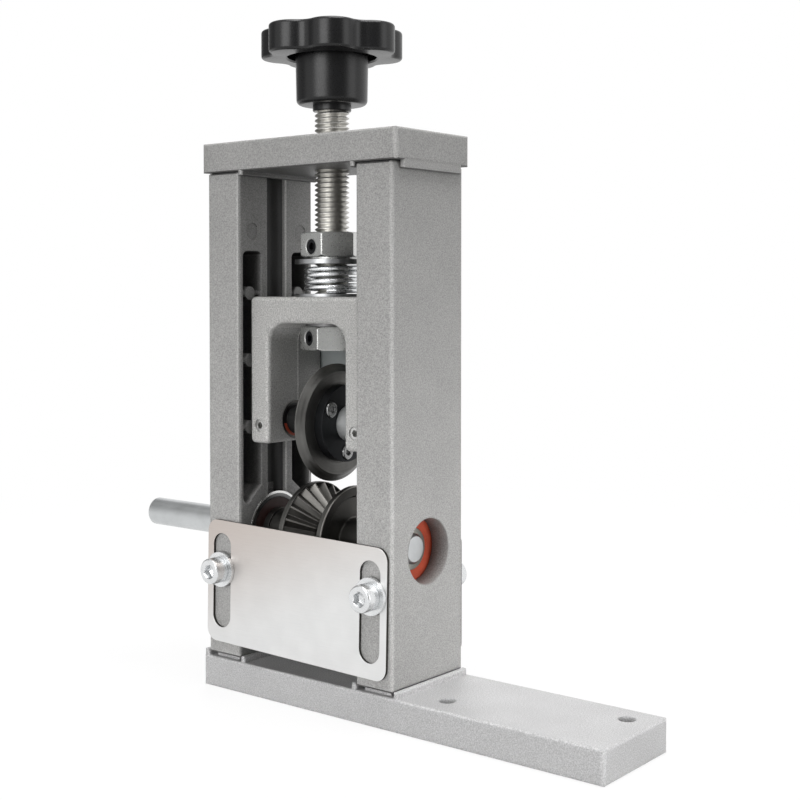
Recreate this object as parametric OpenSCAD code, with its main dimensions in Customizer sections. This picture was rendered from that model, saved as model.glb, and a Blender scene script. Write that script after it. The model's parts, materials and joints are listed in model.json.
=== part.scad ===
// Hand crank wire stripper: a geared pair of feed wheels under a round blade on a sprung carriage,
// in a frame of two hollow posts between a base and a top plate.
// Millimetres, +Z up. The origin is on the base's underside, straight below the adjusting screw.
// +X runs along the base's long tail, and the cable goes through along +Y.

/* [Frame] */
// Height of each post
post_h = 200; // [190:1:215]
// Width of each post across the front
post_w = 18.2; // [17.8:0.1:20]
// Depth of each post from front to back
post_d = 44.4; // [43.4:0.2:47]
// Clear width between the posts
gap_w = 62.4; // [61.8:0.2:68]
// Radius on the upright edges of the posts
post_edge_r = 1.5; // [0.8:0.1:2]
// Radius on the end edges of the posts
post_end_r = 2; // [0.8:0.1:2.4]
// Thickness of the base
base_t = 12.6; // [11:0.2:16]
// Depth of the base from front to back
base_d = 44.9; // [44.6:0.1:48]
// Length of the base beyond the right post
tail_l = 90.8; // [86:0.2:120]
// How far the base reaches past the left post
base_lap = 3.1; // [2.6:0.1:5]
// Thickness of the top plate
top_t = 12.1; // [10:0.1:16]
// Depth of the top plate from front to back
top_d = 46.2; // [45.2:0.2:50]
// How far the top plate reaches past each post
top_lap = 2.5; // [2.4:0.1:5]
// Height of the pads under the posts
pad_h = 1.4; // [1:0.1:2]
// Inset of the pads from the faces of the posts
pad_inset = 2.6; // [2:0.2:4]
// Width of the ribs that hold the posts in place
rib_w = 2.2; // [1.6:0.1:2.2]
// How far the base's ribs stand up beside a post
rib_lap = 1.2; // [0.8:0.1:1.6]
// How far the top plate's inner ribs hang down beside a post
inner_rib_lap = 2; // [1.6:0.1:3]
// How far the top plate's outer ribs hang down beside a post
outer_rib_lap = 3.2; // [2.4:0.1:4]
// Distance of the outer ribs from the front of the top plate
outer_rib_inset = 5; // [3:0.2:8]
// Radius on the edges of the base and the top plate
cast_edge_r = 0.9; // [0.5:0.1:1.2]
// Radius on the upright corners of the base and the top plate
cast_corner_r = 1.9; // [1.2:0.1:3]

/* [Post details] */
// Radius of the half-round groove down the inner face of each post
groove_r = 5.5; // [4.5:0.1:6.5]
// Width of the two tall slots in the inner face
slot_w = 10.8; // [9:0.2:11]
// Distance from the middle of the post to the near side of a slot
slot_in = 9.1; // [8.6:0.1:9.6]
// Height of the slots' lower ends above the foot of the post
slot_low = 63.6; // [62:0.2:68]
// Height of the slots' upper ends above the foot of the post
slot_high = 167.6; // [160:0.2:172]
// Rise of the slanted lower end of a slot
slot_slant = 7; // [5:0.2:9]
// Depth of the slots
slot_depth = 15.4; // [11:0.2:15.4]
// Diameter of the round bosses inside the slots
slot_boss_d = 5.6; // [4:0.1:7]
// Diameter of the bars that tie the bosses to the sides of the slots
slot_bar_d = 2.6; // [2:0.1:4]
// Depth of the bosses' ends below the inner face of the post
slot_boss_sunk = 1.2; // [0.6:0.1:3]
// Height of the lowest slot boss above the foot of the post
slot_boss_low = 94.8; // [90:0.2:99]
// Distance from one slot boss to the next
slot_boss_pitch = 27.7; // [24:0.1:30]

/* [Fixing holes in the base] */
// Diameter of the two holes for fixing the base to a bench
bench_hole_d = 6.5; // [5:0.1:9]
// Distance of the near hole from the right post
bench_hole_near = 17.4; // [14:0.2:24]
// Distance between the two holes along the base
bench_hole_pitch = 63; // [50:1:66]
// Distance of each hole from the middle of the base
bench_hole_y = 11.3; // [6:0.1:14]

/* [Drive shaft and its bearings] */
// Diameter of the drive shaft
shaft_d = 12; // [11:0.1:12.4]
// Height of the drive shaft above the foot of the posts
shaft_h = 50.8; // [50:0.2:54]
// Length of the bare end for the crank beyond the left post
crank_end_l = 57.6; // [40:0.2:80]
// Outer diameter of the shaft bearings
bearing_d = 32; // [31.6:0.1:33]
// Width of the shaft bearings
bearing_w = 10; // [9.4:0.1:11]
// Diameter of the access hole through each post
access_d = 25.6; // [24:0.1:26]
// Diameter of the bearing balls
ball_d = 5.9; // [5.4:0.1:6]

/* [Feed wheels] */
// Diameter of the feed wheels
wheel_d = 43.8; // [42:0.1:44]
// Width of each wheel from the middle of the pair to its outer face
wheel_w = 11.5; // [11:0.1:12.5]
// Width of the plain band round the rim
wheel_band = 2.3; // [2:0.1:2.6]
// Radius of the small end of the toothed cone
wheel_small_r = 11.7; // [11:0.1:12.4]
// Number of teeth on each wheel
wheel_teeth = 24; // [18:1:30]
// Depth of the tooth gaps at the rim
tooth_depth = 2.3; // [1.6:0.1:2.4]
// Depth of the tooth gaps at the small end
tooth_depth_small = 1.2; // [0.8:0.1:1.3]
// Depth of the dish in the outer face
dish_depth = 1.5; // [1:0.1:1.8]
// Radius of the wheel hubs
wheel_hub_r = 9; // [8.6:0.1:9.6]
// Width of the spacer between a hub and its bearing
spacer_w = 3.5; // [2:0.1:5]
// Distance of the cutting plane to the right of the screw's axis
cut_x = 1.2; // [0:0.1:1.6]

/* [Blade] */
// Diameter of the blade
blade_d = 47.8; // [46:0.1:48.2]
// Thickness of the blade
blade_t = 3.3; // [2.8:0.1:3.6]
// Width of the ground bevel
blade_bevel = 3; // [2:0.1:3.6]
// Gap between the blade's edge and the feed wheels at rest
nip_gap = 1.2; // [0.8:0.1:2]
// Radius of the flanges that clamp the blade
flange_r = 15.6; // [15.4:0.1:16]
// Thickness of the flange on the right
flange_t = 4.2; // [3.4:0.1:5]
// Thickness of the clamp ring on the left
clamp_t = 3.5; // [3:0.1:4.5]
// Radius of the circle of the blade screws
blade_screw_ring = 11.6; // [11.4:0.1:11.8]
// Diameter of the blade screw heads
blade_head_d = 6.2; // [5:0.1:6.2]
// Depth of the heads' seats in the flange
blade_head_seat = 1.8; // [1:0.1:2]
// Diameter of the spindle
spindle_d = 8; // [7:0.1:8]
// Diameter of the sleeve on the left of the blade
left_sleeve_d = 12; // [11.6:0.1:13]
// Diameter of the sleeve on the right of the blade
right_sleeve_d = 14; // [13:0.1:15]

/* [Carriage] */
// Running clearance between the carriage and each post
carriage_gap = 0.3; // [0.2:0.05:0.4]
// Depth of the carriage from front to back
carriage_d = 32.7; // [31:0.1:34]
// Thickness of the carriage's legs
leg_t = 10.6; // [10:0.1:11.4]
// Radius on the outer edges of the carriage
carriage_edge_r = 2; // [1:0.1:2.4]
// Thickness of the carriage's crossbar
crossbar_t = 10.7; // [9:0.1:12]
// How far the legs reach below the spindle
leg_drop = 9.1; // [8.6:0.1:12]
// Height of the carriage's top above the spindle
carriage_rise = 51; // [50:0.2:56]
// Radius in the upper corners of the window
window_r = 8.2; // [6:0.1:9]
// Outer diameter of the spindle bearings
spindle_bearing_d = 16; // [15.6:0.1:16.4]
// Width of the spindle bearings
spindle_bearing_w = 5; // [4.6:0.1:5.6]
// Thickness of the guard behind the crossbar
guard_t = 1.5; // [1:0.1:2]
// Height of the guard's lower edge above the spindle
guard_low = 19.4; // [19.2:0.1:24]

/* [Adjusting screw] */
// Diameter of the adjusting screw
screw_d = 14; // [12:0.1:14.4]
// Width across the flats of the two nuts
nut_flats = 22.4; // [21:0.1:24]
// Height of the collar nut's hexagon
collar_nut_h = 9.9; // [8.4:0.1:11]
// Height of the round neck under the collar nut
collar_neck_h = 1; // [0.5:0.1:3]
// Height of the collar nut's set screw above the lower face of its hexagon
collar_grub_up = 4; // [3.6:0.1:4.4]
// Height of the lower nut
lower_nut_h = 9.6; // [8:0.1:9.8]
// Thickness of the thrust washer above the lower nut
thrust_t = 1.2; // [0.8:0.1:1.6]
// Radius of the spring washers
washer_r = 15.1; // [13:0.1:15.6]
// Thickness of the washer above the spring
upper_washer_t = 1.8; // [1.2:0.1:2.4]
// Thickness of the washer below the spring
lower_washer_t = 1.2; // [1:0.1:2.4]
// Diameter of the spring's wire
wire_d = 1.8; // [1.6:0.1:1.8]
// Outer diameter of the spring
spring_d = 22.9; // [21.6:0.1:24]
// Height of the spring as fitted
spring_h = 12.05; // [11.05:0.05:13]
// Number of turns of the spring
spring_turns = 4; // [3:1:4]
// Gap between the knob's nose and the top plate at rest
knob_gap = 11.6; // [10.6:0.1:14]

/* [Knob] */
// Diameter over the lobes of the knob
knob_d = 58.4; // [54:0.2:64]
// Diameter at the valleys between the lobes
knob_valley_d = 50; // [48:0.2:51]
// Number of lobes
knob_lobes = 7; // [6:1:8]
// Radius of each lobe's end
lobe_r = 10; // [9:0.1:10.4]
// Height of the lobed disc
knob_disc_h = 11.7; // [10:0.1:15]
// Height of the dome on the disc
knob_dome_h = 1.1; // [0.6:0.1:1.4]
// Radius on the edges of the disc
knob_edge_r = 2.4; // [1.6:0.1:3]
// Height of the hub below the disc
knob_hub_h = 18.9; // [16:0.1:22]
// Diameter of the hub where it meets the disc
knob_hub_d = 29.6; // [28:0.1:31]
// Diameter of the hub at its lower end
knob_hub_low_d = 28.6; // [26:0.1:28.8]
// Radius on the lower edge of the hub
knob_hub_edge_r = 2; // [1:0.1:3]
// Height of the nose under the hub
knob_nose_h = 2.5; // [1.5:0.1:3]
// Depth of the hollow round the hub under the disc
knob_hollow = 6; // [3:0.2:7]
// Diameter of the hollow round the hub
knob_hollow_d = 36.2; // [34:0.2:38]

/* [Guide sheets] */
// Width of the strip of sheet outside each slot
sheet_side = 3.3; // [2.4:0.1:4.2]
// Height of the sheets
sheet_h = 50.6; // [49:0.2:54]
// Thickness of the sheets
sheet_t = 1.2; // [1:0.1:2]
// Radius of the corners of the sheets
sheet_corner_r = 5.1; // [3:0.1:7]
// Height of the sheets' lower edges above the foot of the posts
sheet_low = 5.1; // [4.6:0.1:7]
// Width of the slots in the sheets
sheet_slot_w = 10; // [8.8:0.1:10.2]
// Height of the slots
sheet_slot_h = 39.1; // [37:0.1:41]
// Height of the slots' lower ends above the sheets' lower edge
sheet_slot_low = 6.1; // [5.6:0.1:7.4]
// Height of the sheet screws above the sheets' lower edge
sheet_screw_up = 31.1; // [29:0.1:33]
// Tilt of the front sheet as it is clamped, with its left end up
front_sheet_tilt = 1.1; // [0:0.1:1.4]
// Sideways shift of the front sheet as it is clamped, to the left
front_sheet_shift = 0.5; // [0:0.1:0.8]

/* [Fasteners] */
// Diameter of the sheet, base and top plate screws
bolt_d = 6; // [5.6:0.1:6.2]
// Diameter of their heads
bolt_head_d = 10.6; // [9.6:0.1:10.8]
// Height of their heads
bolt_head_h = 6; // [5:0.1:6.2]
// Width across the flats of their sockets
bolt_socket = 5; // [4:0.1:5.4]
// Diameter of the washers under the sheet screws
bolt_washer_d = 14.4; // [13:0.1:15]
// Thickness of those washers
bolt_washer_t = 1.4; // [1:0.1:2]
// Reach of the sheet screws into a post
sheet_bolt_l = 9; // [7:0.1:9.4]
// Reach of the base and top plate screws into a post
frame_bolt_reach = 16; // [12:0.5:20]
// Distance of the base and top plate screws from the middle
frame_bolt_y = 13.6; // [12:0.1:14]
// Diameter of the set screws in the nuts
nut_grub_d = 6; // [5:0.1:6.4]
// Diameter of the set screws in the carriage and the wheels
grub_d = 5; // [4:0.1:5.4]

/* [Hidden] */
$fn = 64;
round_child_fn = 32;
cut = 1;                     // how far a cut runs past a face
fit = 0.02;                  // gap all round a pressed or threaded seat
run = 0.05;                  // running gap of a turning piece
slide_gap = 0.1;             // gap on each side of a sliding sheet
rib_gap = 0.15;              // gap between a rib and a post
seal_gap = 0.15;             // gap between a seal and the ring that turns in it

post_in = gap_w / 2;
post_out = post_in + post_w;
post_x = post_in + post_w / 2;
post_z0 = base_t + pad_h;
post_z1 = post_z0 + post_h;
top_z0 = post_z1;
top_z1 = top_z0 + top_t;
base_x0 = -post_out - base_lap;
base_x1 = post_out + tail_l;
bench_holes = [
    [post_out + bench_hole_near, -bench_hole_y],
    [post_out + bench_hole_near + bench_hole_pitch, bench_hole_y]
];

shaft_z = post_z0 + shaft_h;
shaft_right = post_in + bearing_w + 1.8;
shaft_left = -post_out - crank_end_l;
shaft_chamfer = 1;
relief_w = 2.4;              // width of the turned relief outside the left bearing
relief_depth = 0.3;
relief_lap = 0.4;            // how far the relief reaches under that bearing
ring_wall = 2.6;             // thickness of a shaft bearing's outer ring
ring_in_r = bearing_d / 2 - ring_wall;
inner_ring_r = shaft_d / 2 + 2.2;
ball_ring_r = (ring_in_r + inner_ring_r) / 2 + 0.2;
ball_count = 7;
seal_t = 0.8;
seal_inset = 0.3;            // how far a seal lies below the rings' faces
hub_end = post_in - spacer_w;

wheel_r = wheel_d / 2;
wheel_mid_gap = 0.6;         // half the gap between the two wheels
wheel_chamfer = 0.4;
cone_r1 = wheel_r - 0.3;
cone_z1 = wheel_w - wheel_band - 0.3;
tooth_rise = atan2(cone_z1 - wheel_mid_gap, cone_r1 - wheel_small_r);
tooth_turn = 12.96;          // turn of the first tooth gap from -Z towards +Y

blade_r = blade_d / 2;
blade_left = cut_x - 0.4;    // the blade's flat left face
blade_right = blade_left + blade_t;
blade_bore_r = 8;
blade_screws = 3;
blade_screw_turn = 28.6;     // turn of the first blade screw from +Y towards +Z
blade_screw_d = 3.5;
blade_head_h = 2.4;
blade_socket = 2.8;
spindle_z = shaft_z + wheel_r + nip_gap + blade_r;

carriage_x = post_in - carriage_gap;
leg_in = carriage_x - leg_t;
carriage_z0 = spindle_z - leg_drop;
carriage_z1 = spindle_z + carriage_rise;
window_top = carriage_z1 - crossbar_t;
bearing_inset = 0.2;         // depth of the spindle bearings below the legs' inner faces
small_ring_wall = 1.1;
small_ring_in_r = spindle_bearing_d / 2 - small_ring_wall;
small_inner_ring_r = spindle_d / 2 + 1.1;
small_ball_ring_r = (small_ring_in_r + small_inner_ring_r) / 2;
small_ball_d = 2.2;
small_ball_count = 9;
small_seal_t = 0.5;
small_seal_inset = 0.2;
spindle_end = leg_in + bearing_inset + spindle_bearing_w;
leg_screw_z = spindle_z - 1.8;
leg_screw_l = carriage_d / 2 - 6.5;
guard_w = 2 * leg_in + 14;
guard_top = carriage_z1 - 2.8;
guard_screw_x = leg_in + 4;
guard_screw_z = spindle_z + guard_low + 13;
guard_screw_d = 3;
guard_screw_l = 6;

lower_washer_z = carriage_z1;
spring_z = lower_washer_z + lower_washer_t;
upper_washer_z = spring_z + spring_h;
collar_z = upper_washer_z + upper_washer_t + run;
collar_hex_z = collar_z + collar_neck_h;
collar_top = collar_hex_z + collar_nut_h;
thrust_z = window_top - thrust_t;
lower_nut_z = thrust_z - run - lower_nut_h;
screw_z0 = lower_nut_z + 0.4; // the screw ends just inside the lower nut
screw_r = screw_d / 2;
nut_chamfer = 1.2;
nut_neck_r = nut_flats / 2 - 0.9;
collar_turn = 22;            // azimuth of a corner of the collar nut, from -Y towards +X
lower_nut_turn = 13.8;       // azimuth of a corner of the lower nut

knob_nose_z = top_z1 + knob_gap;
knob_hub_z = knob_nose_z + knob_nose_h;
knob_disc_z = knob_hub_z + knob_hub_h;
knob_top = knob_disc_z + knob_disc_h;
knob_nose_r = screw_r + 0.7;
screw_z1 = knob_disc_z + 2.9;
knob_turn = 41.5;            // azimuth of a lobe

sheet_z0 = post_z0 + sheet_low;
sheet_screw_z = sheet_z0 + sheet_screw_up;
sheet_slot_x = post_x - 0.5;
sheet_w = 2 * (sheet_slot_x + sheet_slot_w / 2 + sheet_side);
post_face = post_d / 2;
sheet_in = post_face + slide_gap;
sheet_out = sheet_in + sheet_t;
bolt_washer_in = sheet_out + slide_gap;
bolt_head_in = bolt_washer_in + bolt_washer_t;
counterbore_d = bolt_head_d + 1;
counterbore_h = bolt_head_h + 0.7;

// The spring's wire: a straight end, the turns, and a straight end, lying flat on the washers
spring_r = (spring_d - wire_d) / 2;
spring_pitch = (spring_h - wire_d) / spring_turns;
rings_per_turn = 8;
wire_sides = 6;
spring_rings = spring_turns * rings_per_turn;
spring_start = spring_z + wire_d / 2;

function coil_point(i) = [
    spring_r * cos(i * 360 / rings_per_turn),
    spring_r * sin(i * 360 / rings_per_turn),
    spring_start + spring_pitch * i / rings_per_turn
];
function coil_out(i) = [cos(i * 360 / rings_per_turn), sin(i * 360 / rings_per_turn), 0];
function coil_along(i) = [-sin(i * 360 / rings_per_turn), cos(i * 360 / rings_per_turn), 0];
function wire_ring(centre, out) = [
    for (k = [0 : wire_sides - 1])
        centre + wire_d / 2 * (cos(k * 360 / wire_sides) * out + [0, 0, sin(k * 360 / wire_sides)])
];
wire_centres = concat(
    [coil_point(0) - wire_d * coil_along(0)],
    [for (i = [0 : spring_rings]) coil_point(i)],
    [coil_point(spring_rings) + wire_d * coil_along(spring_rings)]
);
wire_outs = concat(
    [coil_out(0)],
    [for (i = [0 : spring_rings]) coil_out(i)],
    [coil_out(spring_rings)]
);
wire_last = len(wire_centres) - 1;
spring_self_gap = min([
    for (i = [0 : wire_last], j = [0 : wire_last])
        if (j - i > rings_per_turn / 2) norm(wire_centres[i] - wire_centres[j]) - wire_d
]);
echo(spring_self_gap = spring_self_gap);

// Shapes that the pieces share

module rounded_rect(w, h, r) {
    square([w - 2 * r, h], center = true);
    square([w, h - 2 * r], center = true);
    for (x = [-1, 1], y = [-1, 1])
        translate([x * (w / 2 - r), y * (h / 2 - r)]) circle(r = r);
}

// A block that stands on z = 0, with upright edges of radius r and end edges of radius e
module rounded_block(w, d, h, r, e) {
    intersection() {
        linear_extrude(h) rounded_rect(w, d, r);
        translate([0, d / 2, h / 2]) rotate([90, 0, 0]) linear_extrude(d) rounded_rect(w, h, e);
        translate([-w / 2, 0, h / 2]) rotate([90, 0, 90]) linear_extrude(w) rounded_rect(d, h, e);
    }
}

module ring(r_out, r_in, h) {
    difference() {
        cylinder(r = r_out, h = h);
        translate([0, 0, -cut]) cylinder(r = r_in, h = h + 2 * cut);
    }
}

module along_x(x, z) {
    translate([x, 0, z]) rotate([0, 90, 0]) children();
}

module both_sides() {
    children();
    mirror([1, 0, 0]) children();
}

// Turns +X to an azimuth that is counted from -Y towards +X
module at_azimuth(a) {
    rotate([0, 0, a - 90]) children();
}

// A cap screw whose head stands on z = 0, with its shank below
module cap_screw(head_d, head_h, shank_d, shank_l, socket) {
    edge = head_h * 0.12;
    difference() {
        union() {
            cylinder(d = head_d, h = head_h - edge);
            translate([0, 0, head_h - edge]) cylinder(d1 = head_d, d2 = head_d - 2 * edge, h = edge);
            translate([0, 0, -shank_l]) cylinder(d = shank_d, h = shank_l + head_h / 2);
        }
        translate([0, 0, head_h * 0.4]) cylinder(d = socket / cos(30), h = head_h, $fn = 6);
    }
}

// A rod that stands on z = 0 and has a chamfer at each end
module chamfered_rod(d, l, c) {
    cylinder(d1 = d - 2 * c, d2 = d, h = c);
    translate([0, 0, c]) cylinder(d = d, h = l - 2 * c);
    translate([0, 0, l - c]) cylinder(d1 = d, d2 = d - 2 * c, h = c);
}

// A headless set screw from z = -l to z = 0, with its socket at z = 0
module set_screw(d, l) {
    difference() {
        translate([0, 0, -l]) cylinder(d = d, h = l);
        translate([0, 0, -l * 0.5]) cylinder(d = d * 0.58, h = l, $fn = 6);
    }
}

// The rings, seals and balls of a bearing whose axis is Z and whose middle is at z = 0
module raceway(r, d) {
    rotate_extrude() translate([r, 0]) circle(d = d + 0.14, $fn = round_child_fn);
}

module bearing_ring(r_out, r_in, w, r_ball, d_ball) {
    difference() {
        translate([0, 0, -w / 2]) ring(r_out, r_in, w);
        raceway(r_ball, d_ball);
    }
}

module bearing_seal_pair(r_out, r_in, w, t, inset) {
    for (side = [-1, 1])
        translate([0, 0, side * (w / 2 - inset - t / 2) - t / 2]) ring(r_out - fit, r_in + seal_gap, t);
}

module bearing_ball_set(r_ball, d_ball, count) {
    for (i = [0 : count - 1])
        rotate([0, 0, i * 360 / count]) translate([r_ball, 0, 0]) sphere(d = d_ball);
}

// Frame

module base_plate() {
    color("silver")
    difference() {
        union() {
            translate([(base_x0 + base_x1) / 2, 0, 0])
                rounded_block(base_x1 - base_x0, base_d, base_t, cast_corner_r, cast_edge_r);
            both_sides() post_pad();
            both_sides() base_rib(post_in - rib_gap - rib_w, rib_w);
            base_rib(post_out + rib_gap, rib_w);
            mirror([1, 0, 0]) base_rib(post_out + rib_gap, base_lap - rib_gap - cast_edge_r / 2);
        }
        both_sides() base_bolt_places() {
            translate([0, 0, -cut]) cylinder(d = counterbore_d, h = counterbore_h + cut);
            cylinder(d = bolt_d + 0.6, h = base_t + pad_h + cut);
        }
        for (p = bench_holes)
            translate([p[0], p[1], -cut]) cylinder(d = bench_hole_d, h = base_t + 2 * cut);
    }
}

module post_pad() {
    translate([post_x, 0, base_t + pad_h / 2 - cut / 2])
        cube([post_w - 2 * pad_inset, post_d - 2 * pad_inset, pad_h + cut], center = true);
}

module base_rib(x, w) {
    rib_d = post_d - 0.4;
    rib_r = rib_w * 0.35;
    translate([x + w / 2, 0, base_t - cut])
        rounded_block(w, rib_d, pad_h + rib_lap + cut, rib_r, rib_r);
}

module base_bolt_places() {
    for (y = [-1, 1]) translate([post_x, y * frame_bolt_y, 0]) children();
}

module post() {
    difference() {
        translate([post_x, 0, post_z0]) rounded_block(post_w, post_d, post_h, post_edge_r, post_end_r);
        translate([post_in, 0, post_z0 - cut]) cylinder(r = groove_r, h = post_h + 2 * cut);
        along_x(post_in - cut, shaft_z) cylinder(r = bearing_d / 2 + fit, h = bearing_w + cut);
        along_x(post_in - cut, shaft_z) cylinder(d = access_d, h = post_w + 2 * cut);
        for (side = [-1, 1]) {
            slot_cut(side);
            ejector_mark(side);
            translate([post_x, side * frame_bolt_y, post_z0 - cut])
                cylinder(r = bolt_d / 2 + fit, h = frame_bolt_reach + 2 + cut);
            translate([post_x, side * frame_bolt_y, post_z1 - frame_bolt_reach - 2])
                cylinder(r = bolt_d / 2 + fit, h = frame_bolt_reach + 2 + cut);
            sheet_screw_place(side) translate([0, 0, -sheet_bolt_l - 1])
                cylinder(r = bolt_d / 2 + fit, h = sheet_bolt_l + 1 + cut);
        }
    }
    for (side = [-1, 1], i = [0 : 2]) slot_boss(side, post_z0 + slot_boss_low + i * slot_boss_pitch);
}

// A slot is upright, with a lower end that slants away from the bearing
module slot_cut(side) {
    low = post_z0 + slot_low;
    high = post_z0 + slot_high;
    near = slot_in;
    far = slot_in + slot_w;
    round_r = 2.4;
    translate([post_in - cut, 0, 0]) rotate([90, 0, 90]) linear_extrude(slot_depth + cut)
        scale([side, 1]) {
            translate([(near + far) / 2, (low + slot_slant + high) / 2])
                rounded_rect(slot_w, high - low - slot_slant, round_r);
            polygon([
                [near, low + slot_slant + round_r * 2],
                [near, low + slot_slant],
                [far - round_r, low],
                [far, low + round_r],
                [far, low + slot_slant + round_r * 2]
            ]);
            translate([far - round_r, low + round_r]) circle(r = round_r);
        }
}

// A boss stands on the bottom of a slot, and a thin bar ties it to both sides
module slot_boss(side, z) {
    boss_x = post_in + slot_boss_sunk;
    bar_x = boss_x + slot_bar_d / 2 + 0.4;
    translate([0, side * (slot_in + slot_w / 2), 0]) {
        along_x(boss_x, z) cylinder(d = slot_boss_d, h = slot_depth - slot_boss_sunk + 0.5);
        translate([bar_x, 0, z]) rotate([90, 0, 0]) cylinder(d = slot_bar_d, h = slot_w + 1, center = true);
    }
}

// A shallow round mark that the casting's ejector leaves near the top of the inner face
module ejector_mark(side) {
    mark_z = post_z0 + slot_high + 8.2;
    translate([0, side * (slot_in + slot_w / 2), 0])
        along_x(post_in - cut, mark_z) cylinder(d = 7, h = 0.4 + cut);
}

module left_post() {
    color("gray") mirror([1, 0, 0]) post();
}

module right_post() {
    color("gray") post();
}

module top_plate() {
    color("silver")
    difference() {
        union() {
            translate([0, 0, top_z0])
                rounded_block(2 * (post_out + top_lap), top_d, top_t, cast_corner_r, cast_edge_r);
            both_sides() top_rib(post_in - rib_gap - rib_w, inner_rib_lap, top_d - 0.4);
            both_sides() top_rib(post_out + rib_gap, outer_rib_lap, top_d - 2 * outer_rib_inset);
        }
        both_sides() base_bolt_places() translate([0, 0, top_z1]) {
            translate([0, 0, -counterbore_h]) cylinder(d = counterbore_d, h = counterbore_h + cut);
            translate([0, 0, -top_t - cut]) cylinder(d = bolt_d + 0.6, h = top_t + cut);
        }
        translate([0, 0, top_z0 - cut]) cylinder(r = screw_r + run, h = top_t + 2 * cut);
    }
}

module top_rib(x, lap, d) {
    rib_r = rib_w * 0.35;
    translate([x + rib_w / 2, 0, top_z0 - lap]) rounded_block(rib_w, d, lap + 2 * cut, rib_r, rib_r);
}

module frame_bolt(grip) {
    color("gainsboro")
    cap_screw(bolt_head_d, bolt_head_h, bolt_d, grip + frame_bolt_reach, bolt_socket);
}

module base_bolts() {
    both_sides() base_bolt_places() translate([0, 0, counterbore_h])
        rotate([180, 0, 0]) frame_bolt(base_t + pad_h - counterbore_h);
}

module top_bolts() {
    both_sides() base_bolt_places() translate([0, 0, top_z1 - counterbore_h])
        frame_bolt(top_t - counterbore_h);
}

// Shaft bearings

module shaft_bearing_places() {
    both_sides() along_x(post_in + bearing_w / 2, shaft_z) children();
}

module shaft_bearing_outer_rings() {
    color("lightsteelblue")
    shaft_bearing_places() bearing_ring(bearing_d / 2, ring_in_r, bearing_w, ball_ring_r, ball_d);
}

module shaft_bearing_seals() {
    color("firebrick")
    shaft_bearing_places() bearing_seal_pair(ring_in_r, inner_ring_r, bearing_w, seal_t, seal_inset);
}

module shaft_bearing_inner_rings() {
    color("lightsteelblue")
    shaft_bearing_places()
        bearing_ring(inner_ring_r, shaft_d / 2 + fit, bearing_w, ball_ring_r, ball_d);
}

module shaft_bearing_balls() {
    color("whitesmoke")
    shaft_bearing_places() bearing_ball_set(ball_ring_r, ball_d, ball_count);
}

// Drive shaft and feed wheels

module drive_shaft() {
    color("gainsboro")
    difference() {
        along_x(shaft_left, shaft_z) chamfered_rod(shaft_d, shaft_right - shaft_left, shaft_chamfer);
        along_x(-post_in - bearing_w + relief_lap - relief_w, shaft_z)
            ring(shaft_d / 2 + cut, shaft_d / 2 - relief_depth, relief_w);
    }
}

// A wheel whose axis is Z, with the middle of the pair at z = 0 and its hub ending at z = hub_z
module feed_wheel(hub_z) {
    dish_z = wheel_w - dish_depth;
    dish_r = wheel_r - 3.9;
    difference() {
        rotate_extrude() polygon([
            [shaft_d / 2 + fit, wheel_mid_gap],
            [wheel_small_r, wheel_mid_gap],
            [cone_r1, cone_z1],
            [wheel_r, cone_z1 + 0.3],
            [wheel_r, wheel_w - wheel_chamfer],
            [wheel_r - wheel_chamfer, wheel_w],
            [dish_r, wheel_w],
            [dish_r - dish_depth * 0.6, dish_z],
            [wheel_hub_r, dish_z],
            [wheel_hub_r, hub_z],
            [shaft_d / 2 + fit, hub_z]
        ]);
        for (i = [0 : wheel_teeth - 1]) rotate([0, 0, tooth_turn + i * 360 / wheel_teeth]) tooth_gap();
        translate([0, 0, (dish_z + hub_z) / 2]) rotate([0, 90, 0])
            cylinder(r = grub_d / 2 + fit, h = wheel_hub_r + cut);
    }
}

// A V-shaped gap whose bottom runs deeper towards the rim and stops at the plain band
module tooth_gap() {
    out = [sin(tooth_rise), -cos(tooth_rise)];
    low = [wheel_small_r, wheel_mid_gap] - tooth_depth_small * out;
    high = [cone_r1, cone_z1] - tooth_depth * out;
    run_l = norm(high - low);
    v_side = 6;
    overrun = 2;
    translate([low[0], 0, low[1]])
        rotate([0, -atan2(high[1] - low[1], high[0] - low[0]), 0])
            translate([-overrun, 0, 0]) rotate([-135, 0, 0]) cube([run_l + overrun, v_side, v_side]);
}

module left_feed_wheel() {
    color("dimgray")
    mirror([1, 0, 0]) along_x(-cut_x, shaft_z) feed_wheel(hub_end + cut_x);
}

module right_feed_wheel() {
    color("dimgray")
    along_x(cut_x, shaft_z) feed_wheel(hub_end - cut_x);
}

// The spacer's narrow end touches only the inner ring of the bearing
module wheel_spacers() {
    nose = 0.6;
    color("gray")
    both_sides() along_x(hub_end, shaft_z) {
        ring(wheel_hub_r + 0.3, shaft_d / 2 + fit, spacer_w - nose);
        ring(inner_ring_r - 0.3, shaft_d / 2 + fit, spacer_w);
    }
}

module wheel_set_screws() {
    hub_mid = (wheel_w - dish_depth + hub_end) / 2;
    screw_top = wheel_hub_r - 0.3;
    color("dimgray")
    for (side = [-1, 1])
        translate([side * hub_mid + cut_x / 2, 0, shaft_z - screw_top])
            rotate([180, 0, 0]) set_screw(grub_d, screw_top - shaft_d / 2 - run);
}

// Carriage

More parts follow.
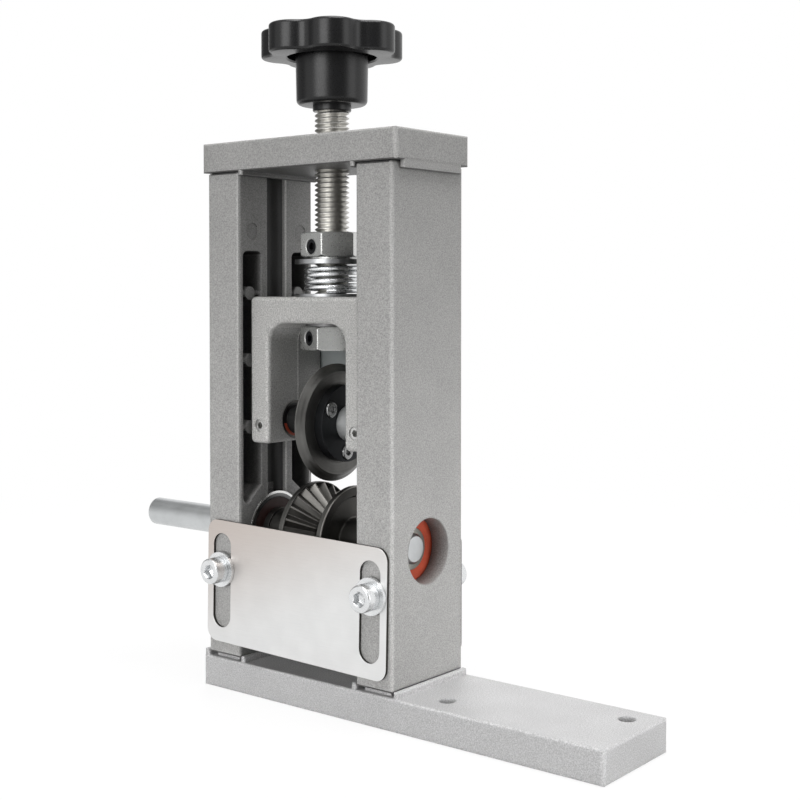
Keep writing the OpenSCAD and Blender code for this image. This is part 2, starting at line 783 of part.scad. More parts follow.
module carriage() {
    carriage_h = carriage_z1 - carriage_z0;
    color("gray")
    difference() {
        translate([0, 0, carriage_z0])
            rounded_block(2 * carriage_x, carriage_d, carriage_h, carriage_edge_r, carriage_edge_r);
        window_cut();
        translate([0, 0, window_top - cut]) cylinder(r = screw_r + run, h = crossbar_t + 2 * cut);
        both_sides() {
            along_x(leg_in - cut, spindle_z)
                cylinder(r = spindle_bearing_d / 2 + fit, h = spindle_bearing_w + bearing_inset + cut);
            along_x(leg_in, spindle_z)
                cylinder(r = small_inner_ring_r + 0.4, h = spindle_end - leg_in + 1);
            leg_screw_place() translate([0, 0, -leg_screw_l])
                cylinder(r = grub_d / 2 + fit, h = leg_screw_l + cut);
            guard_screw_place() translate([0, 0, -guard_screw_l - 1])
                cylinder(r = guard_screw_d / 2 + fit, h = guard_screw_l + 1 + cut);
        }
    }
}

// The window is open below and has round upper corners
module window_cut() {
    low = carriage_z0 - cut;
    translate([0, carriage_d / 2 + cut, 0]) rotate([90, 0, 0]) linear_extrude(carriage_d + 2 * cut) {
        translate([-leg_in, low]) square([2 * leg_in, window_top - window_r - low]);
        translate([-leg_in + window_r, low]) square([2 * (leg_in - window_r), window_top - low]);
        for (side = [-1, 1])
            translate([side * (leg_in - window_r), window_top - window_r]) circle(r = window_r);
    }
}

// In these places Z points out of the face that the screw goes into
module leg_screw_place() {
    translate([(leg_in + carriage_x) / 2, -carriage_d / 2, leg_screw_z]) rotate([90, 0, 0]) children();
}

module guard_screw_place() {
    translate([guard_screw_x, carriage_d / 2, guard_screw_z]) rotate([-90, 0, 0]) children();
}

module carriage_set_screws() {
    color("dimgray")
    both_sides() leg_screw_place() translate([0, 0, -0.4])
        set_screw(grub_d, carriage_d / 2 - 0.4 - spindle_bearing_d / 2 - 0.2);
}

module blade_guard() {
    guard_z0 = spindle_z + guard_low;
    color("lightsteelblue")
    difference() {
        translate([0, carriage_d / 2 + guard_t, (guard_z0 + guard_top) / 2])
            rotate([90, 0, 0]) linear_extrude(guard_t) rounded_rect(guard_w, guard_top - guard_z0, 3);
        both_sides() guard_screw_place()
            translate([0, 0, -cut]) cylinder(r = guard_screw_d / 2 + 0.2, h = guard_t + 2 * cut);
    }
}

module guard_screws() {
    color("gainsboro")
    both_sides() guard_screw_place() translate([0, 0, guard_t])
        cap_screw(guard_screw_d * 1.9, 2, guard_screw_d, guard_t + guard_screw_l, guard_screw_d * 0.7);
}

// Spindle bearings

module spindle_bearing_places() {
    both_sides() along_x(spindle_end - spindle_bearing_w / 2, spindle_z) children();
}

module spindle_bearing_outer_rings() {
    color("lightsteelblue")
    spindle_bearing_places() bearing_ring(
        spindle_bearing_d / 2, small_ring_in_r, spindle_bearing_w, small_ball_ring_r, small_ball_d);
}

module spindle_bearing_seals() {
    color("firebrick")
    spindle_bearing_places() bearing_seal_pair(
        small_ring_in_r, small_inner_ring_r, spindle_bearing_w, small_seal_t, small_seal_inset);
}

module spindle_bearing_inner_rings() {
    color("lightsteelblue")
    spindle_bearing_places() bearing_ring(
        small_inner_ring_r, spindle_d / 2 + fit, spindle_bearing_w, small_ball_ring_r, small_ball_d);
}

module spindle_bearing_balls() {
    color("whitesmoke")
    spindle_bearing_places() bearing_ball_set(small_ball_ring_r, small_ball_d, small_ball_count);
}

// Blade and its spindle

module blade_spindle() {
    color("gainsboro")
    along_x(-spindle_end, spindle_z) chamfered_rod(spindle_d, 2 * spindle_end, 0.5);
}

module spindle_sleeve(from, d) {
    shoulder = leg_in - 0.6;
    along_x(from, spindle_z) {
        ring(d / 2, spindle_d / 2 + fit, shoulder - from);
        ring(small_inner_ring_r - 0.1, spindle_d / 2 + fit, leg_in + bearing_inset - from);
    }
}

module spindle_sleeves() {
    color("lightgray") {
        spindle_sleeve(blade_right + flange_t, right_sleeve_d);
        mirror([1, 0, 0]) spindle_sleeve(clamp_t - blade_left, left_sleeve_d);
    }
}

module blade() {
    color("dimgray")
    difference() {
        along_x(blade_left, spindle_z) rotate_extrude() polygon([
            [blade_bore_r + fit, 0],
            [blade_r - 0.5, 0],
            [blade_r, 0.6],
            [blade_r, 0.8],
            [blade_r - blade_bevel, blade_t],
            [blade_bore_r + fit, blade_t]
        ]);
        blade_screw_places() translate([0, 0, -flange_t - blade_t - cut])
            cylinder(d = blade_screw_d + 0.4, h = blade_t + 2 * cut);
    }
}

// The flange's pilot carries the blade and reaches to the clamp ring
module blade_flange() {
    color("black")
    difference() {
        union() {
            along_x(blade_right, spindle_z) ring(flange_r, spindle_d / 2 + fit, flange_t);
            along_x(blade_left, spindle_z) ring(blade_bore_r, spindle_d / 2 + fit, blade_t + cut);
        }
        blade_screw_places() {
            translate([0, 0, -flange_t - cut]) cylinder(d = blade_screw_d + 0.4, h = flange_t + 2 * cut);
            translate([0, 0, -blade_head_seat]) cylinder(d = blade_head_d + 0.4, h = blade_head_seat + cut);
        }
    }
}

module blade_clamp_ring() {
    color("black")
    difference() {
        along_x(blade_left - clamp_t, spindle_z) ring(flange_r, spindle_d / 2 + fit, clamp_t);
        blade_screw_places() translate([0, 0, -flange_t - blade_t - clamp_t - cut])
            cylinder(r = blade_screw_d / 2 + fit, h = clamp_t + 2 * cut);
    }
}

module blade_screw_places() {
    along_x(blade_right + flange_t, spindle_z)
        for (i = [0 : blade_screws - 1])
            rotate([0, 0, 90 + blade_screw_turn + i * 360 / blade_screws])
                translate([blade_screw_ring, 0, 0]) children();
}

module blade_screws() {
    grip = flange_t - blade_head_seat + blade_t + clamp_t - 0.5;
    color("gainsboro")
    blade_screw_places() translate([0, 0, -blade_head_seat])
        cap_screw(blade_head_d, blade_head_h, blade_screw_d, grip, blade_socket);
}

// Adjusting screw, spring and nuts

module washer(r, z, t) {
    color("gainsboro") translate([0, 0, z]) ring(r, screw_r + 0.3, t);
}

module lower_spring_washer() {
    washer(washer_r, lower_washer_z, lower_washer_t);
}

module upper_spring_washer() {
    washer(washer_r, upper_washer_z, upper_washer_t);
}

module thrust_washer() {
    washer(nut_flats / 2 - 0.2, thrust_z, thrust_t);
}

module pressure_spring() {
    n = wire_sides;
    points = [
        for (i = [0 : wire_last]) each wire_ring(wire_centres[i], wire_outs[i])
    ];
    sides = [
        for (i = [0 : wire_last - 1], k = [0 : n - 1], half = [0, 1])
            half == 0
                ? [i * n + k, i * n + (k + 1) % n, (i + 1) * n + (k + 1) % n]
                : [i * n + k, (i + 1) * n + (k + 1) % n, (i + 1) * n + k]
    ];
    start_cap = [for (k = [1 : n - 2]) [0, k + 1, k]];
    end = wire_last * n;
    end_cap = [for (k = [1 : n - 2]) [end, end + k, end + k + 1]];
    color("silver") polyhedron(points = points, faces = concat(sides, start_cap, end_cap));
}

module adjusting_screw() {
    color("tan")
    translate([0, 0, screw_z0]) chamfered_rod(screw_d, screw_z1 - screw_z0, 1);
}

// A hexagon with chamfered corners, standing on z = 0 with a corner on +X
module hex_nut(flats, h) {
    corner_r = flats / 2 / cos(30);
    intersection() {
        cylinder(r = corner_r, h = h, $fn = 6);
        rotate_extrude() polygon([
            [0, 0],
            [corner_r - nut_chamfer, 0],
            [corner_r, nut_chamfer * tan(30)],
            [corner_r, h - nut_chamfer * tan(30)],
            [corner_r - nut_chamfer, h],
            [0, h]
        ]);
    }
}

// Places a nut's set screw in the middle of a flat, with Z out of the face
module nut_screw_place(turn, z) {
    at_azimuth(turn - 30) translate([nut_flats / 2, 0, z]) rotate([0, 90, 0]) children();
}

module nut_screw_hole(turn, z) {
    nut_screw_place(turn, z) translate([0, 0, -nut_flats / 2])
        cylinder(r = nut_grub_d / 2 + fit, h = nut_flats / 2 + cut);
}

module collar_nut() {
    color("gainsboro")
    difference() {
        union() {
            translate([0, 0, collar_hex_z]) at_azimuth(collar_turn) hex_nut(nut_flats, collar_nut_h);
            translate([0, 0, collar_z]) cylinder(r = nut_neck_r, h = collar_neck_h + cut);
        }
        translate([0, 0, collar_z - cut]) cylinder(r = screw_r + fit, h = collar_top - collar_z + 2 * cut);
        nut_screw_hole(collar_turn, collar_hex_z + collar_grub_up);
    }
}

module lower_nut() {
    color("gainsboro")
    difference() {
        translate([0, 0, lower_nut_z]) at_azimuth(lower_nut_turn) hex_nut(nut_flats, lower_nut_h);
        translate([0, 0, lower_nut_z - cut]) cylinder(r = screw_r + fit, h = lower_nut_h + 2 * cut);
        nut_screw_hole(lower_nut_turn, lower_nut_z + lower_nut_h / 2);
    }
}

module nut_set_screws() {
    inset = 0.3;
    screw_l = nut_flats / 2 - inset - screw_r - run;
    color("dimgray") {
        nut_screw_place(collar_turn, collar_hex_z + collar_grub_up)
            translate([0, 0, -inset]) set_screw(nut_grub_d, screw_l);
        nut_screw_place(lower_nut_turn, lower_nut_z + lower_nut_h / 2)
            translate([0, 0, -inset]) set_screw(nut_grub_d, screw_l);
    }
}

// Knob

// Round lobes joined by round valleys. Each valley cuts a little into its lobes.
module knob_outline() {
    valley_bite = 0.1;
    lobe_c = knob_d / 2 - lobe_r;
    valley = knob_valley_d / 2;
    half_step = 180 / knob_lobes;
    valley_r = (lobe_c * lobe_c + valley * valley - 2 * lobe_c * valley * cos(half_step) - lobe_r * lobe_r)
        / (2 * (lobe_r - valley + lobe_c * cos(half_step)));
    valley_c = valley + valley_r;
    to_valley = [valley_c * cos(half_step) - lobe_c, valley_c * sin(half_step)];
    join = [lobe_c, 0] + lobe_r / (lobe_r + valley_r) * to_valley;
    difference() {
        union() {
            circle(r = norm(join));
            for (i = [0 : knob_lobes - 1])
                rotate(i * 2 * half_step) translate([lobe_c, 0]) circle(r = lobe_r);
        }
        for (i = [0 : knob_lobes - 1])
            rotate((2 * i + 1) * half_step)
                translate([valley_c + valley_bite, 0]) circle(r = valley_r + valley_bite);
    }
}

// The rounding form is a little wider than the lobes, so that it only rounds their edges
module knob_disc() {
    r = knob_d / 2 + 0.2;
    e = knob_edge_r;
    intersection() {
        linear_extrude(knob_disc_h) knob_outline();
        rotate_extrude() {
            square([r - e, knob_disc_h]);
            translate([0, e]) square([r, knob_disc_h - 2 * e]);
            translate([r - e, e]) circle(r = e);
            translate([r - e, knob_disc_h - e]) circle(r = e);
        }
    }
}

module knob() {
    dome_r = knob_valley_d / 2 - 1;
    color("black")
    difference() {
        union() {
            difference() {
                translate([0, 0, knob_disc_z]) at_azimuth(knob_turn) knob_disc();
                translate([0, 0, knob_disc_z - cut]) cylinder(d = knob_hollow_d, h = knob_hollow + cut);
            }
            translate([0, 0, knob_top - cut]) cylinder(r1 = dome_r, r2 = dome_r * 0.3, h = knob_dome_h + cut);
            translate([0, 0, knob_hub_z]) knob_hub();
            translate([0, 0, knob_nose_z]) cylinder(r = knob_nose_r, h = knob_nose_h + cut);
        }
        translate([0, 0, knob_nose_z - cut])
            cylinder(r = screw_r + fit, h = screw_z1 + 0.3 - knob_nose_z + cut);
    }
}

// The hub widens a little towards the disc and is round at its lower edge
module knob_hub() {
    h = knob_hub_h + knob_hollow + cut;
    low_r = knob_hub_low_d / 2;
    high_r = knob_hub_d / 2;
    e = knob_hub_edge_r;
    rotate_extrude() {
        square([low_r - e, e + cut]);
        translate([low_r - e, e]) circle(r = e);
        polygon([[0, e], [low_r, e], [high_r, h], [0, h]]);
    }
}

// Guide sheets

// A sheet that stands in the XZ plane, with its middle at the origin and its front face at y = 0
module guide_sheet() {
    color("lightgray")
    difference() {
        translate([0, sheet_t, 0]) rotate([90, 0, 0])
            linear_extrude(sheet_t) rounded_rect(sheet_w, sheet_h, sheet_corner_r);
        both_sides() translate([sheet_slot_x, sheet_t + cut, sheet_slot_low + (sheet_slot_h - sheet_h) / 2])
            rotate([90, 0, 0]) linear_extrude(sheet_t + 2 * cut)
                rounded_rect(sheet_slot_w, sheet_slot_h, sheet_slot_w / 2 - 0.05);
    }
}

module front_sheet() {
    translate([-front_sheet_shift, -sheet_out, sheet_z0 + sheet_h / 2])
        rotate([0, front_sheet_tilt, 0]) guide_sheet();
}

module rear_sheet() {
    translate([0, sheet_in, sheet_z0 + sheet_h / 2]) guide_sheet();
}

// The place of a sheet screw on the face of the right post, with Z out of the face
module sheet_screw_place(side) {
    translate([post_x, side * post_face, sheet_screw_z]) rotate([-side * 90, 0, 0]) children();
}

module sheet_screws() {
    reach = sheet_bolt_l;
    color("gainsboro")
    both_sides() for (side = [-1, 1])
        sheet_screw_place(side) translate([0, 0, bolt_head_in - post_face])
            cap_screw(bolt_head_d, bolt_head_h, bolt_d, bolt_head_in - post_face + reach, bolt_socket);
}

module sheet_washers() {
    color("gainsboro")
    both_sides() for (side = [-1, 1])
        sheet_screw_place(side) translate([0, 0, bolt_washer_in - post_face])
            ring(bolt_washer_d / 2, bolt_d / 2 + 0.3, bolt_washer_t);
}

base_plate();
left_post();
right_post();
top_plate();
base_bolts();
top_bolts();
shaft_bearing_outer_rings();
shaft_bearing_seals();
shaft_bearing_inner_rings();
shaft_bearing_balls();
drive_shaft();
left_feed_wheel();
right_feed_wheel();
wheel_spacers();
wheel_set_screws();
carriage();
carriage_set_screws();
spindle_bearing_outer_rings();
spindle_bearing_seals();
spindle_bearing_inner_rings();
spindle_bearing_balls();
blade_spindle();
spindle_sleeves();
blade();
blade_flange();
blade_clamp_ring();
blade_screws();
blade_guard();
guard_screws();
lower_spring_washer();
pressure_spring();
upper_spring_washer();
thrust_washer();
adjusting_screw();
collar_nut();
lower_nut();
nut_set_screws();
knob();
front_sheet();
rear_sheet();
sheet_screws();
sheet_washers();
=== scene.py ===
# Hand crank wire stripper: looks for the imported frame. Metres, +Z up, the same frame as the CAD.
import bpy
import bmesh
import json
import math
from mathutils import Matrix, Vector


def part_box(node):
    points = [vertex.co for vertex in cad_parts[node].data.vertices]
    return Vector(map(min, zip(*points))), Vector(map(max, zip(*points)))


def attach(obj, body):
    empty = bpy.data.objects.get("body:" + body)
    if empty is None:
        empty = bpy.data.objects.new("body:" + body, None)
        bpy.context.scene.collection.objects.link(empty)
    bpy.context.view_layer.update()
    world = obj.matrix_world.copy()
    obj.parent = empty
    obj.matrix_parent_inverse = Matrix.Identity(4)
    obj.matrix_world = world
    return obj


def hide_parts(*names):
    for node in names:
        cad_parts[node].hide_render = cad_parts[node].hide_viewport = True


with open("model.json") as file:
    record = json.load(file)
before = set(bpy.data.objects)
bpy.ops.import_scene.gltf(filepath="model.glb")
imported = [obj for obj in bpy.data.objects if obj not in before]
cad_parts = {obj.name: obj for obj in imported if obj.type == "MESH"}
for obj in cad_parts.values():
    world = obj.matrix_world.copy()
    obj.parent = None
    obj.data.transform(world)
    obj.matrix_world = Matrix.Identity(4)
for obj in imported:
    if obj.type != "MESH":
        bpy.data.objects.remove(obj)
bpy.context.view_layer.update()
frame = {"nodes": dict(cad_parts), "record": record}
cadNodes = frame["nodes"]
mm = 0.001
print("frame loaded:", len(cadNodes), "nodes")


# Materials. Every texture runs on object coordinates, so it stays with its piece at every pose.

def startMaterial(name, metallic, rough, shine=0.5):
    material = bpy.data.materials.new(name)
    material.use_nodes = True
    tree = material.node_tree
    shader = tree.nodes["Principled BSDF"]
    shader.inputs["Metallic"].default_value = metallic
    shader.inputs["Roughness"].default_value = rough
    shader.inputs["Specular IOR Level"].default_value = shine
    where = tree.nodes.new("ShaderNodeTexCoord").outputs["Object"]
    return material, tree, where


def noise(tree, where, size, detail, seed, stretch=(1, 1, 1)):
    # size is the grain in millimetres, and seed moves the pattern along all three axes
    place = tree.nodes.new("ShaderNodeMapping")
    place.inputs["Scale"].default_value = [s / (size * mm) for s in stretch]
    place.inputs["Location"].default_value = (seed, seed * 0.7, seed * 1.3)
    tree.links.new(where, place.inputs["Vector"])
    grain = tree.nodes.new("ShaderNodeTexNoise")
    grain.inputs["Scale"].default_value = 1.0
    grain.inputs["Detail"].default_value = detail
    tree.links.new(place.outputs["Vector"], grain.inputs["Vector"])
    return grain.outputs["Fac"]


def ramp(tree, value, stops):
    # stops are (place, grey or colour) pairs
    node = tree.nodes.new("ShaderNodeValToRGB")
    band = node.color_ramp
    while len(band.elements) < len(stops):
        band.elements.new(0.5)
    for element, (place, colour) in zip(band.elements, stops):
        element.position = place
        rgb = (colour,) * 3 if isinstance(colour, (int, float)) else colour
        element.color = (*rgb, 1.0)
    tree.links.new(value, node.inputs["Fac"])
    return node.outputs["Color"]


def tones(tree, value, low, high):
    # noise lies mostly between 0.3 and 0.7, so low and high are reached there
    return ramp(tree, value, [(0.3, low), (0.7, high)])


def scaled(colour, factor):
    return [min(1.0, c * factor) for c in colour]


def multiplied(tree, first, second):
    node = tree.nodes.new("ShaderNodeMix")
    node.data_type = "RGBA"
    node.blend_type = "MULTIPLY"
    node.inputs[0].default_value = 1.0
    tree.links.new(first, node.inputs[6])
    tree.links.new(second, node.inputs[7])
    return node.outputs[2]


def blended(tree, share, first, second):
    # first where share is 0, second where it is 1; each is a colour or a socket
    node = tree.nodes.new("ShaderNodeMix")
    node.data_type = "RGBA"
    tree.links.new(share, node.inputs[0])
    for socket, value in ((node.inputs[6], first), (node.inputs[7], second)):
        if isinstance(value, tuple):
            socket.default_value = (*value, 1.0)
        else:
            tree.links.new(value, socket)
    return node.outputs[2]


def shaded(tree, colour, share, factor):
    # the colour times factor where share is 1
    return multiplied(tree, colour, blended(tree, share, (1, 1, 1), (factor,) * 3))


def maths(tree, operation, first, second=0.0):
    node = tree.nodes.new("ShaderNodeMath")
    node.operation = operation
    for socket, value in zip(node.inputs, (first, second)):
        if isinstance(value, (int, float)):
            socket.default_value = value
        else:
            tree.links.new(value, socket)
    return node.outputs["Value"]


def allOf(tree, first, *others):
    # 1 only where every mask is 1
    for mask in others:
        first = maths(tree, "MULTIPLY", first, mask)
    return first


def notIn(tree, mask):
    return maths(tree, "SUBTRACT", 1.0, mask)


def between(tree, value, low, high):
    # 1 where value lies between low and high, both in millimetres
    above = maths(tree, "GREATER_THAN", value, low * mm)
    return maths(tree, "MULTIPLY", above, maths(tree, "LESS_THAN", value, high * mm))


def within(tree, value, half):
    # 1 where value lies less than half from the middle, in millimetres
    return between(tree, value, -half, half)


def remapped(tree, value, low, high, start=0.0, kind="LINEAR"):
    # runs from start, where value is low, to 1, where it is high
    node = tree.nodes.new("ShaderNodeMapRange")
    node.interpolation_type = kind
    tree.links.new(value, node.inputs["Value"])
    node.inputs["From Min"].default_value = low
    node.inputs["From Max"].default_value = high
    node.inputs["To Min"].default_value = start
    return node.outputs["Result"]


def axes(tree, vector):
    node = tree.nodes.new("ShaderNodeSeparateXYZ")
    tree.links.new(vector, node.inputs["Vector"])
    return node.outputs["X"], node.outputs["Y"], node.outputs["Z"]


def facing(tree):
    # the surface's own direction, in object coordinates
    return axes(tree, tree.nodes["Texture Coordinate"].outputs["Normal"])


def vectorMaths(tree, operation, vector, second=None):
    node = tree.nodes.new("ShaderNodeVectorMath")
    node.operation = operation
    tree.links.new(vector, node.inputs[0])
    if second:
        node.inputs[1].default_value = second
    return node.outputs["Value" if operation == "LENGTH" else "Vector"]


def bump(tree, height, depth, under=None):
    # depth is the height of the relief in millimetres
    node = tree.nodes.new("ShaderNodeBump")
    node.inputs["Strength"].default_value = 1.0
    node.inputs["Distance"].default_value = depth * mm
    tree.links.new(height, node.inputs["Height"])
    if under is not None:
        tree.links.new(under, node.inputs["Normal"])
    return node.outputs["Normal"]


def softEdges(tree, width):
    # rounds the look of sharp edges; width is in millimetres
    node = tree.nodes.new("ShaderNodeBevel")
    node.samples = 4
    node.inputs["Radius"].default_value = width * mm
    return node.outputs["Normal"]


def finishMaterial(material, colour, marks, roughLow, roughHigh, relief, under=None):
    # the fine marks vary the roughness and stand up by relief, in millimetres
    tree = material.node_tree
    shader = tree.nodes["Principled BSDF"]
    tree.links.new(colour, shader.inputs["Base Color"])
    tree.links.new(tones(tree, marks, roughLow, roughHigh), shader.inputs["Roughness"])
    tree.links.new(bump(tree, marks, relief, under), shader.inputs["Normal"])
    return material


# Speckled coat of the castings. Lengths are in millimetres, and painted shades and highlights multiply the
# colour.

coatFinish = {"metallic": 0.05, "rough": 0.48, "roughDark": 0.56, "roughLight": 0.38, "cloud": 22.0,
              "cloudTones": (0.95, 1.04), "flat": 0.985, "round": 0.88}
coatLook = {
    # painted light: the base's coat is a lighter copy of the frame's, for the brighter light that falls on
    # the base
    "base": {"dark": 0.355, "mid": 0.48, "light": 0.625, "grain": 0.45, "relief": 0.03,
             "tint": (1.0, 0.995, 1.0), "edge": 1.5, "edgeHighlight": 1.15},
    "frame": {"dark": 0.265, "mid": 0.365, "light": 0.475, "grain": 0.45, "relief": 0.03,
              "tint": (1.0, 0.99, 0.97), "edge": 1.1, "edgeHighlight": 1.22},
    "carriage": {"dark": 0.30, "mid": 0.44, "light": 0.595, "grain": 0.55, "relief": 0.035,
                 "tint": (1.0, 0.99, 0.965), "edge": 0.9, "edgeHighlight": 1.15},
}
# painted shade: the carriage's window is painted darker inside, and darker still behind the line that the
# casting's mould leaves; that line is painted light as a highlight
windowShadeAndMouldLine = {"halfWindow": 20.8, "top": 150.0, "behind": 1.1, "wide": 0.4, "far": 100.0, "light": 2.2,
               "within": 0.8, "shade": 0.62}
# painted shade in the deep parts of the posts (inner faces, grooves and slots) and on faces that look down
postRecessShade = {"start": 29.0, "deep": 34.0, "end": 47.6, "front": 21.9, "foot": 15.6, "top": 213.9,
              "shade": 0.25, "under": 0.22, "underTurn": -0.5}
# painted shade in the posts' grooves, all but their rear walls, and a painted highlight along the grooves'
# rims
postGrooveShadeAndHighlight = {"half": 5.8, "rearWall": 0.9, "face": 31.1, "wallStart": 31.5, "deep": 35.8, "shade": 0.03,
              "rimHalf": 0.5, "rimDeep": 0.6, "grooveRimHighlight": 1.5}
# painted shade in the bearings' bores, deeper away from their open ends
postBoreShade = {"start": 36.0, "low": 46.0, "high": 84.0, "half": 17.5, "open": 49.0, "deep": 42.0, "shade": 0.4}
# painted shade on the ribs under the top plate
postRibShade = {"start": 28.7, "end": 31.1, "low": 211.9, "high": 214.05, "shade": 0.35}


def shadeWindow(tree, where, colour):
    p = windowShadeAndMouldLine
    lineEnd = p["behind"] + p["wide"]
    x, y, z = axes(tree, where)
    inside = allOf(tree, within(tree, x, p["halfWindow"]), between(tree, z, 0, p["top"]))
    onLine = allOf(tree, inside, between(tree, y, p["behind"], lineEnd))
    past = allOf(tree, inside, between(tree, y, lineEnd, p["far"]))
    # painted shade inside the window and behind the mould line, and a painted highlight on the line
    colour = shaded(tree, colour, inside, p["within"])
    colour = shaded(tree, colour, past, p["shade"] / p["within"])
    return shaded(tree, colour, onLine, p["light"])


def shadePosts(tree, where, colour):
    # paints shade into the posts' recesses, grooves, bores, ribs and downward faces, and a highlight on the
    # grooves' rims; gives the colour and the mask of all but the bearings' bores, whose painted shade fades
    # out at their open ends
    p, g, b, r = postRecessShade, postGrooveShadeAndHighlight, postBoreShade, postRibShade
    x, y, z = axes(tree, where)
    away = maths(tree, "ABSOLUTE", x)
    bore = allOf(tree, maths(tree, "GREATER_THAN", away, b["start"] * mm),
                 between(tree, z, b["low"], b["high"]), within(tree, y, b["half"]))
    notBore = notIn(tree, bore)
    recess = allOf(tree, within(tree, y, p["front"]), within(tree, x, p["end"]),
                   between(tree, z, p["foot"], p["top"]), notBore)
    groove = within(tree, y, g["half"])
    depth = remapped(tree, away, p["start"] * mm, p["deep"] * mm)
    # painted shade, growing deeper from the posts' inner faces inwards
    colour = shaded(tree, colour, allOf(tree, recess, notIn(tree, groove), depth), p["shade"])
    # painted highlight along the groove's rim
    rim = allOf(tree, between(tree, y, g["half"] - g["rimHalf"], g["half"] + g["rimHalf"]),
                between(tree, away, g["face"], g["face"] + g["rimDeep"]), recess)
    colour = shaded(tree, colour, rim, g["grooveRimHighlight"])
    # painted shade on the ribs under the top plate
    ribs = allOf(tree, between(tree, away, r["start"], r["end"]), between(tree, z, r["low"], r["high"]),
                 within(tree, y, p["front"]))
    colour = shaded(tree, colour, ribs, r["shade"])
    # painted shade in the groove
    floor = maths(tree, "LESS_THAN", y, g["rearWall"] * g["half"] * mm)  # all but the groove's rear wall
    dark = maths(tree, "MAXIMUM", floor, remapped(tree, away, g["wallStart"] * mm, g["deep"] * mm))
    sunk = maths(tree, "GREATER_THAN", away, g["face"] * mm)
    colour = shaded(tree, colour, allOf(tree, recess, groove, allOf(tree, dark, sunk)), g["shade"])
    # painted shade on every face that looks down
    under = allOf(tree, maths(tree, "LESS_THAN", facing(tree)[2], p["underTurn"]), notBore)
    colour = shaded(tree, colour, under, p["under"])
    # painted shade, deeper in the bores
    inBore = allOf(tree, bore, remapped(tree, away, b["open"] * mm, b["deep"] * mm))
    return shaded(tree, colour, inBore, b["shade"]), notBore


def onEdges(tree, rounded):
    # 1 where the rounded normal turns away from all three axes
    turns = [maths(tree, "ABSOLUTE", turn) for turn in axes(tree, rounded)]
    flatness = maths(tree, "MAXIMUM", turns[0], maths(tree, "MAXIMUM", turns[1], turns[2]))
    return remapped(tree, flatness, coatFinish["flat"], coatFinish["round"])


def speckledCoat(name, look, seed, window=False, posts=False):
    c = coatFinish
    material, tree, where = startMaterial(name, c["metallic"], c["rough"])
    fine = noise(tree, where, look["grain"], detail=4.0, seed=seed)
    wide = noise(tree, where, c["cloud"], detail=2.0, seed=seed + 5)
    speckle = ramp(tree, fine, [(0.32, look["dark"]), (0.5, look["mid"]), (0.68, look["light"])])
    low, high = [[tone * t for t in look["tint"]] for tone in c["cloudTones"]]
    colour = multiplied(tree, speckle, tones(tree, wide, low, high))
    rounded = softEdges(tree, look["edge"])
    edges = onEdges(tree, rounded)  # painted highlight on edges and roundings
    if window:
        colour = shadeWindow(tree, where, colour)
    if posts:
        colour, notBore = shadePosts(tree, where, colour)
        edges = allOf(tree, edges, notBore)
    colour = shaded(tree, colour, edges, look["edgeHighlight"])
    return finishMaterial(material, colour, fine, c["roughDark"], c["roughLight"], look["relief"], rounded)


# Plated, ground and turned steel

# painted shade: the upper left part of a sheet is painted darker and warmer, from start to full in
# millimetres of height;
# slope leans this
warmShadeUpperLeft = {"colour": (0.58, 0.525, 0.49), "slope": 0.35, "start": 30.0, "full": 85.0}


def platedSteel(name, colour, rough, grain, seed, stretch=(1, 1, 1), relief=0.0008, tone=0.08, metallic=1.0,
                wear=None, cutEdge=None, warm=None, shadeLeftOfMiddle=None, soft=0.25, vary=0.1):
    # plated or ground metal with fine marks along one direction; wear is the colour of bare worn crests,
    # cutEdge the colour of faces that don't look along Y, warm a painted shade on a sheet's upper left,
    # shadeLeftOfMiddle the colour of a painted shade left of the middle
    material, tree, where = startMaterial(name, metallic, rough)
    marks = noise(tree, where, grain, detail=2.5, seed=seed, stretch=stretch)
    wide = noise(tree, where, size=9.0, detail=3.0, seed=seed + 3)
    body = tones(tree, wide, scaled(colour, 1 - tone), scaled(colour, 1 + tone))
    if wear:
        worn = tree.nodes.new("ShaderNodeAttribute")
        worn.attribute_name = "worn"
        body = blended(tree, worn.outputs["Fac"], body, wear)
    # painted shade, darker and warmer towards a sheet's upper left
    if warm:
        x, y, z = axes(tree, where)
        height = maths(tree, "SUBTRACT", z, maths(tree, "MULTIPLY", x, warm["slope"]))
        share = remapped(tree, height, warm["start"] * mm, warm["full"] * mm, kind="SMOOTHSTEP")
        body = blended(tree, share, body, warm["colour"])
    # painted shade: all left of the middle takes this darker colour
    if shadeLeftOfMiddle:
        body = blended(tree, maths(tree, "LESS_THAN", axes(tree, where)[0], 0.0), body, shadeLeftOfMiddle)
    if cutEdge:
        edge = maths(tree, "LESS_THAN", maths(tree, "ABSOLUTE", facing(tree)[1]), 0.5)
        body = blended(tree, edge, body, cutEdge)
    return finishMaterial(material, body, marks, rough * (1 - vary), min(1.0, rough * (1 + 1.3 * vary)),
                          relief, softEdges(tree, soft))


